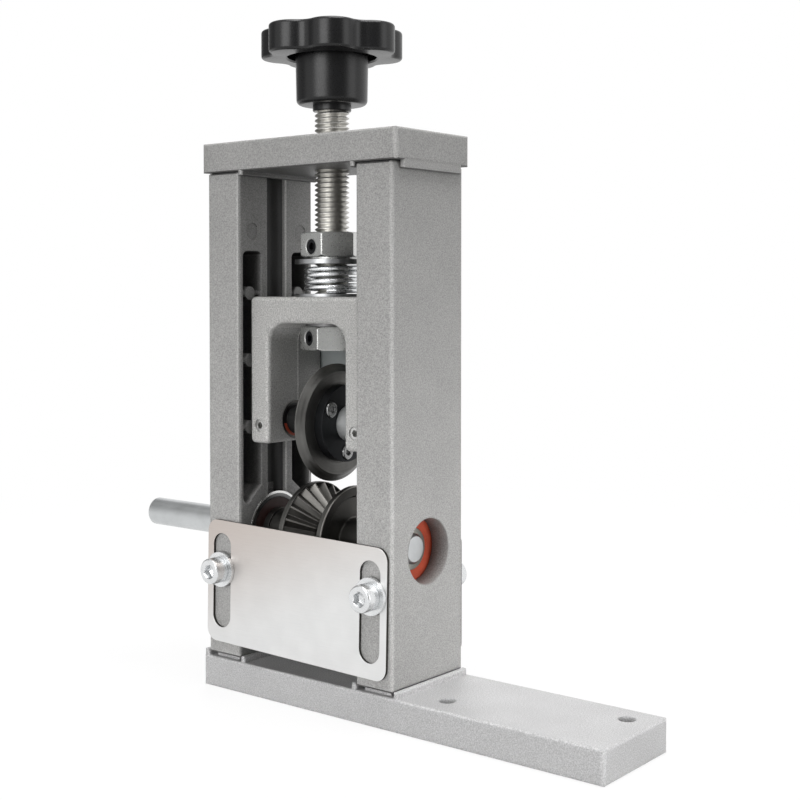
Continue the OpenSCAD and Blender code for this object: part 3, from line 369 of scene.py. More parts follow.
def turnedSteel(name, colour, rough, centre, ringSize, seed, relief=0.01, tone=0.12, soft=0.25, rim=None):
    # rings left by the lathe, about the X axis through centre; rim is the radius and colour of a painted
    # highlight on the outer edge
    material, tree, where = startMaterial(name, 1.0, rough)
    shift = vectorMaths(tree, "SUBTRACT", where, centre)
    radius = vectorMaths(tree, "LENGTH", vectorMaths(tree, "MULTIPLY", shift, (0, 1, 1)))
    line = tree.nodes.new("ShaderNodeCombineXYZ")
    tree.links.new(radius, line.inputs["X"])
    rings = noise(tree, line.outputs["Vector"], ringSize, detail=3.0, seed=seed)
    wide = noise(tree, where, size=6.0, detail=3.0, seed=seed + 2)
    body = tones(tree, wide, scaled(colour, 1 - tone), scaled(colour, 1 + tone))
    # painted highlight beyond the rim's radius
    if rim:
        body = blended(tree, maths(tree, "GREATER_THAN", radius, rim["radius"] * mm), body, rim["colour"])
    return finishMaterial(material, body, rings, rough * 0.7, min(1.0, rough * 1.4), relief,
                          softEdges(tree, soft))


# Plastic and rubber

# painted shade: where the seals are painted dark, inside the frame, and above the height of the blade's
# spindle
paintedSealShade = {"within": 37.0, "shaftTop": 90.0, "above": 110.5, "top": 1000.0,
              "shaftColour": (0.035, 0.012, 0.010), "bladeColour": (0.012, 0.011, 0.011)}


def mouldedPlastic(name, colour, rough, seed, shine=0.5, paintedShade=None):
    material, tree, where = startMaterial(name, 0.0, rough, shine)
    fine = noise(tree, where, size=0.35, detail=3.0, seed=seed)
    wide = noise(tree, where, size=14.0, detail=2.0, seed=seed + 1)
    body = tones(tree, wide, scaled(colour, 0.8), scaled(colour, 1.3))
    if paintedShade:
        x, y, height = axes(tree, where)
        atShaft = allOf(tree, within(tree, x, paintedShade["within"]), between(tree, height, 0, paintedShade["shaftTop"]))
        atBlade = between(tree, height, paintedShade["above"], paintedShade["top"])
        # painted shade on the seals inside the frame and above the blade's spindle
        body = blended(tree, atShaft, body, paintedShade["shaftColour"])
        body = blended(tree, atBlade, body, paintedShade["bladeColour"])
    return finishMaterial(material, body, fine, rough * 0.85, rough * 1.2, relief=0.012)


shaftAxis = [c / 2 for c in map(sum, zip(*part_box("drive_shaft")))]
bladeAxis = [c / 2 for c in map(sum, zip(*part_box("blade")))]
# painted highlight on the bearing rings' outer edge
ringRimHighlight = {"radius": 15.0, "colour": (0.72, 0.72, 0.71)}

materials = {
    "cast_frame": speckledCoat("castFrameCoat", coatLook["frame"], 1.0, posts=True),
    "cast_carriage": speckledCoat("carriageCoat", coatLook["carriage"], 4.0, window=True),
    "zinc_steel": platedSteel("zincPlate", (0.74, 0.75, 0.757), rough=0.26, grain=1.6, seed=2.0),
    "dull_zinc": platedSteel("dullZincPlate", (0.36, 0.37, 0.37), rough=0.48, grain=0.7, seed=13.0,
                             metallic=0.6),
    "guard_steel": platedSteel("dullGuardPlate", (0.36, 0.385, 0.385), rough=0.5, grain=0.5, seed=14.0,
                               metallic=0.6),
    "screw_steel": platedSteel("warmZincThread", (0.60, 0.59, 0.56), rough=0.34, grain=0.9, seed=3.0),
    "bearing_steel": turnedSteel("bearingSteel", (0.22, 0.22, 0.22), 0.25, shaftAxis, 0.3, 5.0),
    "ball_chrome": platedSteel("ballChrome", (0.80, 0.80, 0.81), rough=0.08, grain=1.5, seed=6.0,
                               relief=0.0005),
    "seal_rubber": mouldedPlastic("sealRubber", (0.42, 0.065, 0.030), 0.5, 7.0, paintedShade=paintedSealShade),
    "dark_steel": platedSteel("oiledDarkSteel", (0.10, 0.098, 0.092), rough=0.36, grain=0.6, seed=8.0,
                              relief=0.006, tone=0.15, wear=(0.26, 0.25, 0.235)),
    "blade_steel": turnedSteel("groundBlade", (0.14, 0.138, 0.132), 0.42, bladeAxis, 0.25, 9.0),
    "black_steel": platedSteel("blackOxide", (0.020, 0.021, 0.023), rough=0.32, grain=0.5, seed=10.0,
                               relief=0.004, tone=0.2, metallic=0.8),
    "sheet_steel": platedSteel("brushedSheet", (0.74, 0.742, 0.738), rough=0.40, grain=0.25, seed=11.0,
                               stretch=(0.03, 1, 1), relief=0.002, tone=0.03, cutEdge=(0.07, 0.065, 0.06),
                               warm=warmShadeUpperLeft, vary=0.25),
    "black_plastic": mouldedPlastic("blackKnobPlastic", (0.004, 0.004, 0.0045), 0.29, 12.0, shine=0.4),
}
ownLooks = {  # nodes whose finish differs a little from the rest of their slot
    # painted light: a lighter copy of the frame's coat
    "base_plate": speckledCoat("castBaseCoatPaintedLight", coatLook["base"], 1.5),
    "collar_nut": platedSteel("nutPlate", (0.58, 0.585, 0.57), rough=0.28, grain=0.9, seed=15.0, soft=0.8,
                              vary=0.05),
    "upper_spring_washer": platedSteel("washerPlate", (0.34, 0.345, 0.35), rough=0.3, grain=0.9, seed=17.0),
    "thrust_washer": platedSteel("thrustPlate", (0.16, 0.16, 0.16), rough=0.4, grain=0.9, seed=19.0),
    "shaft_bearing_outer_rings": turnedSteel("shaftRings", (0.14, 0.14, 0.14), 0.2, shaftAxis, 0.3, 20.0,
                                             relief=0.004, soft=0.9, rim=ringRimHighlight),
    "shaft_bearing_inner_rings": turnedSteel("innerRings", (0.44, 0.44, 0.40), 0.3, shaftAxis, 0.3, 23.0),
    "drive_shaft": platedSteel("shaftPlate", (0.57, 0.585, 0.59), rough=0.34, grain=1.2, seed=22.0),
    "pressure_spring": platedSteel("springPlate", (0.58, 0.595, 0.60), rough=0.3, grain=1.2, seed=21.0,
                                   vary=0.05),
    "blade_screws": platedSteel("bladeScrewPlate", (0.34, 0.34, 0.34), rough=0.26, grain=0.6, seed=18.0,
                                soft=0.5),
    # the left sleeve is painted dark as shade
    "spindle_sleeves": platedSteel("sleevePlate", (0.52, 0.53, 0.53), rough=0.42, grain=0.7, seed=13.0,
                                   metallic=0.6, shadeLeftOfMiddle=(0.025, 0.025, 0.025)),
    "carriage_set_screws": platedSteel("setScrewSteel", (0.52, 0.52, 0.51), rough=0.28, grain=0.6, seed=16.0),
}
ownLooks["lower_nut"] = ownLooks["collar_nut"]
ownLooks["lower_spring_washer"] = ownLooks["upper_spring_washer"]
print("materials ready:", len(materials))

slotOf = {part["node"]: part["material_slot"] for part in frame["record"]["subparts"]}
for nodeName, piece in cadNodes.items():
    piece.data.materials.clear()
    piece.data.materials.append(ownLooks.get(nodeName) or materials[slotOf[nodeName]])


# Mesh helpers. Shapes are drawn in millimetres and scaled once, when the piece is made.

def joinRings(mesh, rings, capped=True):
    count = len(rings[0])
    loops = [[mesh.verts.new(point) for point in ring] for ring in rings]
    for low, high in zip(loops, loops[1:]):
        for i in range(count):
            j = (i + 1) % count
            mesh.faces.new((low[i], low[j], high[j], high[i]))
    if capped:
        mesh.faces.new(list(reversed(loops[0])))
        mesh.faces.new(loops[-1])
    return loops


def moved(mesh, verts, matrix):
    bmesh.ops.transform(mesh, matrix=matrix, verts=verts)


def addRings(mesh, rings, matrix):
    loops = joinRings(mesh, rings)
    moved(mesh, [vert for loop in loops for vert in loop], matrix)


def ringPoint(radius, angle, height):
    return Vector((radius * math.cos(angle), radius * math.sin(angle), height))


def circleRing(radius, height, count):
    return [ringPoint(radius, math.tau * i / count, height) for i in range(count)]


def placed(name, data):
    thing = bpy.data.objects.new(name, data)
    bpy.context.collection.objects.link(thing)
    return thing


def meshObject(name, mesh):
    data = bpy.data.meshes.new(name)
    mesh.to_mesh(data)
    mesh.free()
    return placed(name, data)


def evaluatedMesh(thing):
    return bpy.data.meshes.new_from_object(thing.evaluated_get(bpy.context.evaluated_depsgraph_get()))


def makePiece(name, mesh, slotName, body, node, sharpAngle):
    bmesh.ops.remove_doubles(mesh, verts=mesh.verts, dist=0.0005)
    bmesh.ops.recalc_face_normals(mesh, faces=mesh.faces)
    bmesh.ops.scale(mesh, vec=(mm, mm, mm), verts=mesh.verts)
    piece = meshObject(name, mesh)
    piece.data.materials.append(materials[slotName])
    piece.data.shade_smooth()
    piece.data.set_sharp_from_angle(angle=math.radians(sharpAngle))
    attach(piece, body)
    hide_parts(node)
    return piece


def keepModified(piece):
    # the modifier's result becomes the piece's own mesh
    result = evaluatedMesh(piece)
    piece.modifiers.clear()
    piece.data = result


def evenNormals(piece):
    # large flat faces keep their own direction beside round edges
    weighting = piece.modifiers.new("evenNormals", "WEIGHTED_NORMAL")
    weighting.keep_sharp = True
    keepModified(piece)
    return piece


def arc(centre, radius, start, end, steps):
    points = []
    for i in range(steps + 1):
        angle = math.radians(start + (end - start) * i / steps)
        points.append((centre[0] + radius * math.cos(angle), centre[1] + radius * math.sin(angle)))
    return points


def roundedOutline(x0, x1, y0, y1, radius, steps=8):
    return (arc((x1 - radius, y0 + radius), radius, -90, 0, steps)
            + arc((x1 - radius, y1 - radius), radius, 0, 90, steps)
            + arc((x0 + radius, y1 - radius), radius, 90, 180, steps)
            + arc((x0 + radius, y0 + radius), radius, 180, 270, steps))


def plate(outlines, thickness, edge, edgeSteps=2):
    # a plate in the XZ plane, centred on Y = 0, with round edges and a hole for each further outline
    curve = bpy.data.curves.new("plateOutline", "CURVE")
    curve.dimensions = "2D"
    curve.fill_mode = "BOTH"
    curve.extrude = thickness / 2 - edge
    curve.bevel_depth = edge
    curve.bevel_resolution = edgeSteps
    curve.offset = -edge
    for outline in outlines:
        spline = curve.splines.new("POLY")
        spline.points.add(len(outline) - 1)
        for point, (x, z) in zip(spline.points, outline):
            point.co = (x, z, 0, 1)
        spline.use_cyclic_u = True
    holder = placed("plateOutline", curve)
    flat = evaluatedMesh(holder)
    mesh = bmesh.new()
    mesh.from_mesh(flat)
    bpy.data.objects.remove(holder)
    bpy.data.curves.remove(curve)
    bpy.data.meshes.remove(flat)
    moved(mesh, mesh.verts, Matrix.Rotation(math.pi / 2, 4, "X"))
    bmesh.ops.remove_doubles(mesh, verts=mesh.verts, dist=0.001)
    return mesh


# Adjusting screw with its rolled thread

# rootEnd, crestStart and crestEnd are places along one pitch, from the start of the root
screwThread = {"pitch": 2.0, "crestRadius": 7.0, "rootRadius": 5.75, "rootEnd": 0.12, "crestStart": 0.46,
               "crestEnd": 0.62, "low": 141.65, "high": 262.0, "chamfer": 1.2, "around": 40}


def threadedScrew():
    t = screwThread
    low, high, around = t["low"], t["high"], t["around"]
    endRadius = t["crestRadius"] - t["chamfer"]
    profile = [(0.0, t["rootRadius"]), (t["rootEnd"], t["rootRadius"]),
               (t["crestStart"], t["crestRadius"]), (t["crestEnd"], t["crestRadius"])]
    turns = int((high - low) / t["pitch"]) + 2
    steps = turns * around
    mesh = bmesh.new()
    rows = []
    for i in range(steps + 1):
        row = []
        for share, radius in profile:
            height = low + t["pitch"] * (i / around + share - 1.0)
            height = min(max(height, low), high)
            room = min(height - low, high - height)
            radius = min(radius, endRadius + room)
            row.append(mesh.verts.new(ringPoint(radius, math.tau * i / around, height)))
        rows.append(row)
    last = len(profile) - 1
    for i in range(steps):
        for k in range(last):
            mesh.faces.new((rows[i][k], rows[i + 1][k], rows[i + 1][k + 1], rows[i][k + 1]))
        if i + 1 + around <= steps:
            mesh.faces.new((rows[i][last], rows[i + 1][last], rows[i + 1 + around][0], rows[i + around][0]))
    for ring in (circleRing(endRadius, low, around)[::-1], circleRing(endRadius, high, around)):
        mesh.faces.new([mesh.verts.new(point) for point in ring])
    return makePiece("threadedScrew", mesh, "screw_steel", "screw", "adjusting_screw", sharpAngle=60.0)


threadedScrew()
print("adjusting screw threaded")


# Knob: lobes and valleys on smooth arcs, with round edges, a crowned top and a hollow underside

knobShape = {"lobes": 7, "reach": 29.2, "valley": 25.0, "lobeRadius": 10.0, "edge": 1.3, "azimuth": 41.5,
             "lobeSteps": 14, "valleySteps": 9, "discLow": 259.1, "discHigh": 270.8, "dome": 1.1,
             "domeShares": (0.92, 0.8, 0.62, 0.42, 0.2, 0.05), "hollowRadius": 18.1, "hollowDepth": 6.0,
             "hollowEdge": 0.6, "hubRadius": 14.8, "hubLowRadius": 14.4, "hubLow": 240.2, "hubEdge": 2.0,
             "hubFillet": 1.0, "noseRadius": 7.8, "noseLow": 237.7, "noseFace": 6.8, "noseEdge": 0.3}


def knobOutline(inset):
    k = knobShape
    lobe, valley = k["lobeRadius"], k["valley"]
    centre = k["reach"] - lobe
    half = math.pi / k["lobes"]
    valleyRadius = ((centre ** 2 + valley ** 2 - 2 * centre * valley * math.cos(half) - lobe ** 2)
                    / (2 * (lobe - valley + centre * math.cos(half))))
    valleyCentre = (valley + valleyRadius) * Vector((math.cos(half), math.sin(half)))
    spread = math.atan2(valleyCentre.y, valleyCentre.x - centre)
    fromAngle = spread + math.pi
    toAngle = 2 * half - spread + math.pi
    points = []
    for i in range(k["lobes"]):
        turn = Matrix.Rotation(2 * half * i + math.radians(k["azimuth"] - 90), 2)
        for step in range(k["lobeSteps"] + 1):
            angle = -spread + 2 * spread * step / k["lobeSteps"]
            outward = Vector((math.cos(angle), math.sin(angle)))
            points.append(turn @ (Vector((centre, 0)) + (lobe - inset) * outward))
        for step in range(1, k["valleySteps"]):
            angle = fromAngle + (toAngle - fromAngle) * step / k["valleySteps"]
            outward = Vector((math.cos(angle), math.sin(angle)))
            points.append(turn @ (valleyCentre + (valleyRadius + inset) * outward))
    return points


def quarterTurn(steps=6):
    # pairs of one less sine and one less cosine, from 0 to 90 degrees
    angles = [math.pi / 2 * i / steps for i in range(steps + 1)]
    return [(1 - math.sin(angle), 1 - math.cos(angle)) for angle in angles]


def lobedKnob():
    k = knobShape
    edge = k["edge"]
    mesh = bmesh.new()
    angles = [math.atan2(point.y, point.x) for point in knobOutline(0.0)]

    def roundRing(radius, height):
        return [ringPoint(radius, angle, height) for angle in angles]

    def outlineRing(inset, height):
        return [Vector((point.x, point.y, height)) for point in knobOutline(inset)]

    hollow = k["hollowRadius"]
    ceiling = k["discLow"] + k["hollowDepth"]
    rings = [roundRing(k["noseFace"], k["noseLow"]),
             roundRing(k["noseRadius"] - k["noseEdge"], k["noseLow"]),
             roundRing(k["noseRadius"], k["noseLow"] + k["noseEdge"]),
             roundRing(k["noseRadius"], k["hubLow"])]
    for inward, rise in quarterTurn():
        rings.append(roundRing(k["hubLowRadius"] - k["hubEdge"] * inward, k["hubLow"] + k["hubEdge"] * rise))
    rings += [roundRing(k["hubRadius"], ceiling - k["hubFillet"]),
              roundRing(k["hubRadius"] + k["hubFillet"], ceiling),
              roundRing(hollow - k["hollowEdge"], ceiling),
              roundRing(hollow, ceiling - k["hollowEdge"]),
              roundRing(hollow, k["discLow"] + k["hollowEdge"]),
              roundRing(hollow + k["hollowEdge"], k["discLow"])]
    rings += [outlineRing(edge * inward, k["discLow"] + edge * rise) for inward, rise in quarterTurn()]
    rings += [outlineRing(edge * inward, k["discHigh"] - edge * drop) for drop, inward in quarterTurn()]
    inner = knobOutline(edge)
    for share in k["domeShares"]:
        height = k["discHigh"] + k["dome"] * (1 - share ** 2)
        ring = []
        for point, angle in zip(inner, angles):
            reach = point.length * share ** 2 + (k["valley"] - edge) * (1 - share ** 2)
            ring.append(ringPoint(reach * share, angle, height))
        rings.append(ring)
    joinRings(mesh, rings)
    return makePiece("lobedKnob", mesh, "black_plastic", "screw", "knob", sharpAngle=40.0)


lobedKnob()
print("knob moulded")


# Pressure spring with closed ends

# steady is the even share of the rise, and the rest eases in and out
coil = {"wire": 1.85, "outer": 22.9, "low": 164.05, "high": 176.0, "turns": 4.6, "start": -60, "steady": 0.55,
        "around": 28, "wireSides": 12}


def pressureCoil():
    c = coil
    mesh = bmesh.new()
    size = c["wire"] / 2
    radius = (c["outer"] - c["wire"]) / 2
    low = c["low"] + size
    high = c["high"] - size
    steps = int(c["turns"] * c["around"])
    rings = []
    for i in range(steps + 1):
        t = i / steps
        eased = 0.5 - 0.5 * math.cos(math.pi * t)
        rise = c["steady"] * t + (1 - c["steady"]) * eased
        angle = math.radians(c["start"]) + math.tau * c["turns"] * t
        outward = Vector((math.cos(angle), math.sin(angle), 0))
        centre = outward * radius + Vector((0, 0, low + (high - low) * rise))
        ring = []
        for k in range(c["wireSides"]):
            around = math.tau * k / c["wireSides"]
            ring.append(centre + outward * size * math.cos(around) + Vector((0, 0, size * math.sin(around))))
        rings.append(ring)
    joinRings(mesh, rings)
    return makePiece("pressureCoil", mesh, "zinc_steel", "carriage", "pressure_spring", sharpAngle=60.0)


pressureCoil()
print("spring wound")


# Feed wheels: V gaps cut down a cone, with thin crests and a plain band at the rim

wheelShape = {"teeth": 24, "gapTurn": 12.96, "crestShare": 0.12, "crestRound": 0.96, "crestDrop": 0.1,
              "gapShare": 0.04, "toothPlaces": (0.06, 0.25, 0.5, 0.75, 0.93, 0.985), "smallRadius": 11.7,
              "coneRadius": 21.6, "faceLow": 0.6, "faceEdge": 1.6, "toothStart": 0.1, "startShare": 0.9,
              "coneHigh": 8.9, "depthSmall": 1.2, "depthRim": 2.3, "rim": 21.9, "rimStart": 0.3,
              "wide": 11.5, "rimEdge": 0.35, "edgeLine": 0.1, "dishRadius": 18.0, "dishEdge": 0.2,
              "dishSlope": 0.7, "dishDepth": 1.5, "hub": 9.0, "hubFillet": (0.5, 0.4), "hubEdge": 0.4,
              "bore": 6.02, "boreEdge": 0.3, "cut": 1.2, "hubEnd": 27.7, "axisHeight": 64.8,
              "wornFlank": 0.25}


def toothedWheel(name, side, node):
    w = wheelShape
    hubEnd = w["hubEnd"] - side * w["cut"]
    slope = math.atan2(w["coneHigh"] - w["faceLow"], w["coneRadius"] - w["smallRadius"])
    pitch = math.tau / w["teeth"]
    start = math.radians(w["gapTurn"])
    half = 0.5 - w["crestShare"] / 2
    rounded = half * w["crestRound"]
    # places over one tooth pitch, from the middle of a gap, with their share of the gap's depth
    shares = [(-w["gapShare"] / 2, 1), (w["gapShare"] / 2, 1), (rounded, w["crestDrop"]), (half, 0.0),
              (0.5, 0.0), (1 - half, 0.0), (1 - rounded, w["crestDrop"])]

    def toothRing(radius, height, depth):
        ring = []
        for tooth in range(w["teeth"]):
            for share, deep in shares:
                sink = depth * deep
                angle = start + pitch * (tooth + share)
                reach = radius - sink * math.sin(slope)
                ring.append(ringPoint(reach, angle, height + sink * math.cos(slope)))
        return ring

    def flat(radius, height):
        return toothRing(radius, height, 0.0)

    def at(share):
        radius = w["smallRadius"] + (w["coneRadius"] - w["smallRadius"]) * share
        height = w["faceLow"] + (w["coneHigh"] - w["faceLow"]) * share
        return radius, height, w["depthSmall"] + (w["depthRim"] - w["depthSmall"]) * share

    face, rim, wide, edge = w["faceLow"], w["rim"], w["wide"], w["rimEdge"]
    dishFloor = wide - w["dishDepth"]
    smallRadius, smallHeight, smallDepth = at(0.0)
    rings = [flat(w["bore"], face + w["boreEdge"]), flat(w["bore"] + w["boreEdge"], face),
             flat(smallRadius - w["faceEdge"], face),
             toothRing(smallRadius - w["toothStart"], smallHeight, smallDepth * w["startShare"])]
    firstTooth = len(rings)
    rings += [toothRing(*at(share)) for share in w["toothPlaces"]]
    lastTooth = len(rings)
    rings += [flat(w["coneRadius"], w["coneHigh"]), flat(rim, w["coneHigh"] + w["rimStart"]),
              flat(rim, wide - edge - w["edgeLine"])]
    rimStart = len(rings)
    rings += [flat(rim, wide - edge), flat(rim - edge, wide)]
    rimEnd = len(rings)
    rings += [flat(rim - edge - w["edgeLine"], wide), flat(w["dishRadius"] + w["dishEdge"], wide),
              flat(w["dishRadius"], wide - w["dishEdge"]), flat(w["dishRadius"] - w["dishSlope"], dishFloor),
              flat(w["hub"] + w["hubFillet"][0], dishFloor), flat(w["hub"], dishFloor + w["hubFillet"][1]),
              flat(w["hub"], hubEnd - w["hubEdge"]), flat(w["hub"] - w["hubEdge"], hubEnd),
              flat(w["bore"], hubEnd)]
    mesh = bmesh.new()
    worn = mesh.verts.layers.float.new("worn")  # crests and the rim's edge are bare, the flanks a little
    loops = joinRings(mesh, rings, capped=False)
    for loop in loops[firstTooth:lastTooth]:
        for i, corner in enumerate(loop):
            onCrest = shares[i % len(shares)][1] == 0
            corner[worn] = 1.0 if onCrest else w["wornFlank"]
    for loop in loops[rimStart:rimEnd]:
        for corner in loop:
            corner[worn] = 1.0
    first, last = loops[0], loops[-1]
    for i, corner in enumerate(last):
        j = (i + 1) % len(last)
        mesh.faces.new((corner, last[j], first[j], first[i]))
    moved(mesh, mesh.verts, Matrix.Rotation(math.pi / 2, 4, "Y"))
    if side < 0:
        moved(mesh, mesh.verts, Matrix.Scale(-1, 4, (1, 0, 0)))
    moved(mesh, mesh.verts, Matrix.Translation((w["cut"], 0, w["axisHeight"])))
    return makePiece(name, mesh, "dark_steel", "drive", node, sharpAngle=25.0)


toothedWheel("leftToothedWheel", -1, "left_feed_wheel")
toothedWheel("rightToothedWheel", 1, "right_feed_wheel")
print("feed wheels cut")


# Cap screws with knurled heads and hexagon sockets

# underside and crown are (inset, height) pairs, the crown's counted down from the top, and knurl says how far
# from the head's two ends the knurls stop
capScrew = {"head": 5.3, "height": 6.0, "shank": 3.0, "shankEdge": 0.5, "reach": 11.9, "socket": 5.0,
            "socketDepth": 3.0, "socketEdge": (0.12, 0.3), "socketPoint": (0.3, 0.7),
            "underside": ((0.35, 0.0), (0.1, 0.25)), "crown": ((0.1, 0.8), (0.22, 0.35), (0.6, 0.0)),
            "knurl": (0.6, 1.1), "knurls": 36, "knurlDepth": 0.16, "hexTurns": (12, 35),
            "x": 40.3, "z": 50.2, "headStart": 25.0}


def hexRing(flats, height, count, turn):
    ring = []
    for i in range(count):
        angle = math.tau * i / count
        side = (angle - turn) % (math.pi / 3) - math.pi / 6
        ring.append(ringPoint(flats / 2 / math.cos(side), angle, height))
    return ring


def addCapScrew(mesh, matrix, turn):
    c = capScrew
    head, top, shank = c["head"], c["height"], c["shank"]
    count = c["knurls"] * 2
    socketFloor = top - c["socketDepth"]
    socketCorner = c["socket"] / 2 / math.cos(math.pi / 6)

    def knurledRing(height):
        radii = [head - c["knurlDepth"] * (i % 2) for i in range(count)]
        return [ringPoint(radius, math.tau * i / count, height) for i, radius in enumerate(radii)]

    rings = [circleRing(shank - c["shankEdge"], -c["reach"], count),
             circleRing(shank, c["shankEdge"] - c["reach"], count), circleRing(shank, 0, count)]
    rings += [circleRing(head - inset, height, count) for inset, height in c["underside"]]
    rings += [knurledRing(c["knurl"][0]), knurledRing(top - c["knurl"][1])]
    rings += [circleRing(head - inset, top - drop, count) for inset, drop in c["crown"]]
    rings += [circleRing(socketCorner + c["socketEdge"][0], top, count),
              hexRing(c["socket"], top - c["socketEdge"][1], count, turn),
              hexRing(c["socket"], socketFloor, count, turn),
              circleRing(c["socketPoint"][0], socketFloor - c["socketPoint"][1], count)]
    addRings(mesh, rings, matrix)


def sheetCapScrews():
    c = capScrew
    mesh = bmesh.new()
    for side in (-1, 1):
        out = Matrix.Rotation(math.radians(90) * -side, 4, "X")
        for x, turn in zip((-c["x"], c["x"]), c["hexTurns"]):
            place = Matrix.Translation((x, side * c["headStart"], c["z"]))
            addCapScrew(mesh, place @ out, math.radians(turn))
    return makePiece("sheetCapScrews", mesh, "zinc_steel", "frame", "sheet_screws", sharpAngle=30.0)


sheetCapScrews()
print("cap screws turned")


# Guide sheets with round corners and slots; the front one sits a little askew on its screws

guideSheet = {"halfWide": 48.1, "low": 19.1, "high": 69.7, "corner": 5.1, "thick": 1.2, "inside": 22.3,
              "edge": 0.12, "slotX": 39.8, "slotWide": 10.0, "slotLow": 25.2, "slotHigh": 64.3,
              "tilt": 1.1, "shift": 0.5}


def slottedSheet(name, side, node):
    g = guideSheet
    halfSlot = g["slotWide"] / 2
    slotRadius = halfSlot - 0.01  # a hair less than half, so that the two arcs at an end don't meet
    outlines = [roundedOutline(-g["halfWide"], g["halfWide"], g["low"], g["high"], g["corner"])]
    for x in (-g["slotX"], g["slotX"]):
        outlines.append(roundedOutline(x - halfSlot, x + halfSlot, g["slotLow"], g["slotHigh"],
                                       slotRadius, 12))
    mesh = plate(outlines, g["thick"], g["edge"])
    if side < 0:
        middle = Matrix.Translation((0, 0, (g["low"] + g["high"]) / 2))
        tilted = middle @ Matrix.Rotation(math.radians(g["tilt"]), 4, "Y") @ middle.inverted()
        moved(mesh, mesh.verts, Matrix.Translation((-g["shift"], 0, 0)) @ tilted)
    moved(mesh, mesh.verts, Matrix.Translation((0, side * (g["inside"] + g["thick"] / 2), 0)))
    return evenNormals(makePiece(name, mesh, "sheet_steel", node, node, sharpAngle=35.0))


slottedSheet("frontGuideSheet", -1, "front_sheet")
slottedSheet("rearGuideSheet", 1, "rear_sheet")
print("guide sheets cut")


# Carriage casting with round edges on the outside and round the window

# each Clear is how far outside the metal a drill starts
casting = {"halfWide": 30.9, "halfDeep": 16.35, "low": 102.7, "high": 162.8, "legInside": 20.3,
           "windowTop": 152.1, "windowRadius": 8.2, "corner": 2.0, "foot": 2.1, "edge": 2.0,
           "screwHole": 7.06, "screwHoleLong": 20.0, "screwHoleClear": 2.0,
           "pocket": 8.02, "pocketDepth": 5.2, "pocketClear": 3.0, "axisHeight": 111.8,
           "setScrew": 2.52, "setScrewLong": 10.0, "setScrewClear": 1.0, "setScrewX": 25.6,
           "setScrewZ": 110.0, "drillSides": 48, "sharpAngle": 30.0}


def carriageOutline():
    c = casting
    inside, top, r, corner, foot = c["legInside"], c["windowTop"], c["windowRadius"], c["corner"], c["foot"]
    right, low, high = c["halfWide"] - corner, c["low"] + corner, c["high"] - corner
    return (arc((right, low), corner, -90, 0, 6) + arc((right, high), corner, 0, 90, 6)
            + arc((-right, high), corner, 90, 180, 6) + arc((-right, low), corner, 180, 270, 6)
            + arc((-inside - foot, c["low"] + foot), foot, -90, 0, 4)
            + arc((-inside + r, top - r), r, 180, 90, 10) + arc((inside - r, top - r), r, 90, 0, 10)
            + arc((inside + foot, c["low"] + foot), foot, 180, 270, 4))


def carriageDrills():
    c = casting
    tools = bmesh.new()

    def drill(radius, length, matrix):
        rings = [circleRing(radius, height, c["drillSides"]) for height in (0, length)]
        addRings(tools, rings, matrix)

    screwHoleStart = c["windowTop"] - c["screwHoleClear"]
    drill(c["screwHole"], c["screwHoleLong"], Matrix.Translation((0, 0, screwHoleStart)))
    backward = Matrix.Rotation(math.radians(-90), 4, "X")
    frontStart = -c["halfDeep"] - c["setScrewClear"]
    for side in (-1, 1):
        outward = Matrix.Rotation(math.radians(90 * side), 4, "Y")
        pocketStart = side * (c["legInside"] - c["pocketClear"])
        drill(c["pocket"], c["pocketDepth"] + c["pocketClear"],
              Matrix.Translation((pocketStart, 0, c["axisHeight"])) @ outward)
        drill(c["setScrew"], c["setScrewLong"],
              Matrix.Translation((side * c["setScrewX"], frontStart, c["setScrewZ"])) @ backward)
    bmesh.ops.scale(tools, vec=(mm, mm, mm), verts=tools.verts)
    bmesh.ops.recalc_face_normals(tools, faces=tools.faces)
    return meshObject("drills", tools)


def carriageCasting():
    c = casting
    mesh = plate([carriageOutline()], 2 * c["halfDeep"], c["edge"], edgeSteps=4)
    piece = makePiece("carriageCasting", mesh, "cast_carriage", "carriage", "carriage", c["sharpAngle"])
    drills = carriageDrills()
    boring = piece.modifiers.new("bores", "BOOLEAN")
    boring.operation = "DIFFERENCE"
    boring.solver = "EXACT"
    boring.use_self = True
    boring.object = drills
    keepModified(piece)
    piece.data.set_sharp_from_angle(angle=math.radians(c["sharpAngle"]))
    bpy.data.objects.remove(drills)
    return evenNormals(piece)


carriageCasting()
print("carriage cast")


# Studio. Places and sizes are in metres, and lamps and cards face middle unless they name a target.

studio = {"cameraPlace": (0.3662, -0.4135, 0.1648), "pitch": 1.45, "heading": 38.67, "lens": 61.04,
          "sensor": 36.0, "shiftY": -0.0923, "nearest": 0.01, "middle": (0.02, 0, 0.13),
          "floorSize": 6.0, "floorHeight": -0.0002, "floorRough": 0.9, "floorGlow": 0.88,
          "glowReach": (0.25, 0.6), "floorSeen": 0.95, "floorPlain": 0.45, "ambient": 0.12}
lowLamp = {"target": (0.03, 0, 0.02), "size": (0.35, 0.18), "spread": 40, "unseen": True}
lamps = {
    "frontLamp": {"place": (0.12, -1.4, 0.5), "size": (0.9, 0.9), "power": 8.8},
    "sideLamp": {"place": (1.25, 0.4, 0.45), "size": (0.6, 0.9), "power": 1.9},
    "topLamp": {"place": (0.3, -0.1, 1.4), "size": (1.0, 1.0), "power": 17.0, "target": (0.08, 0, 0)},
    "lowSideLamp": {"place": (0.55, 0.06, 0.05), "power": 0.14, **lowLamp},
    "lowFrontLamp": {"place": (-0.02, -0.5, 0.03), "power": 0.09, **lowLamp},
    "rearLamp": {"place": (-0.9, 1.05, 0.6), "size": (0.9, 0.9), "power": 15.0, "unseen": True},
}
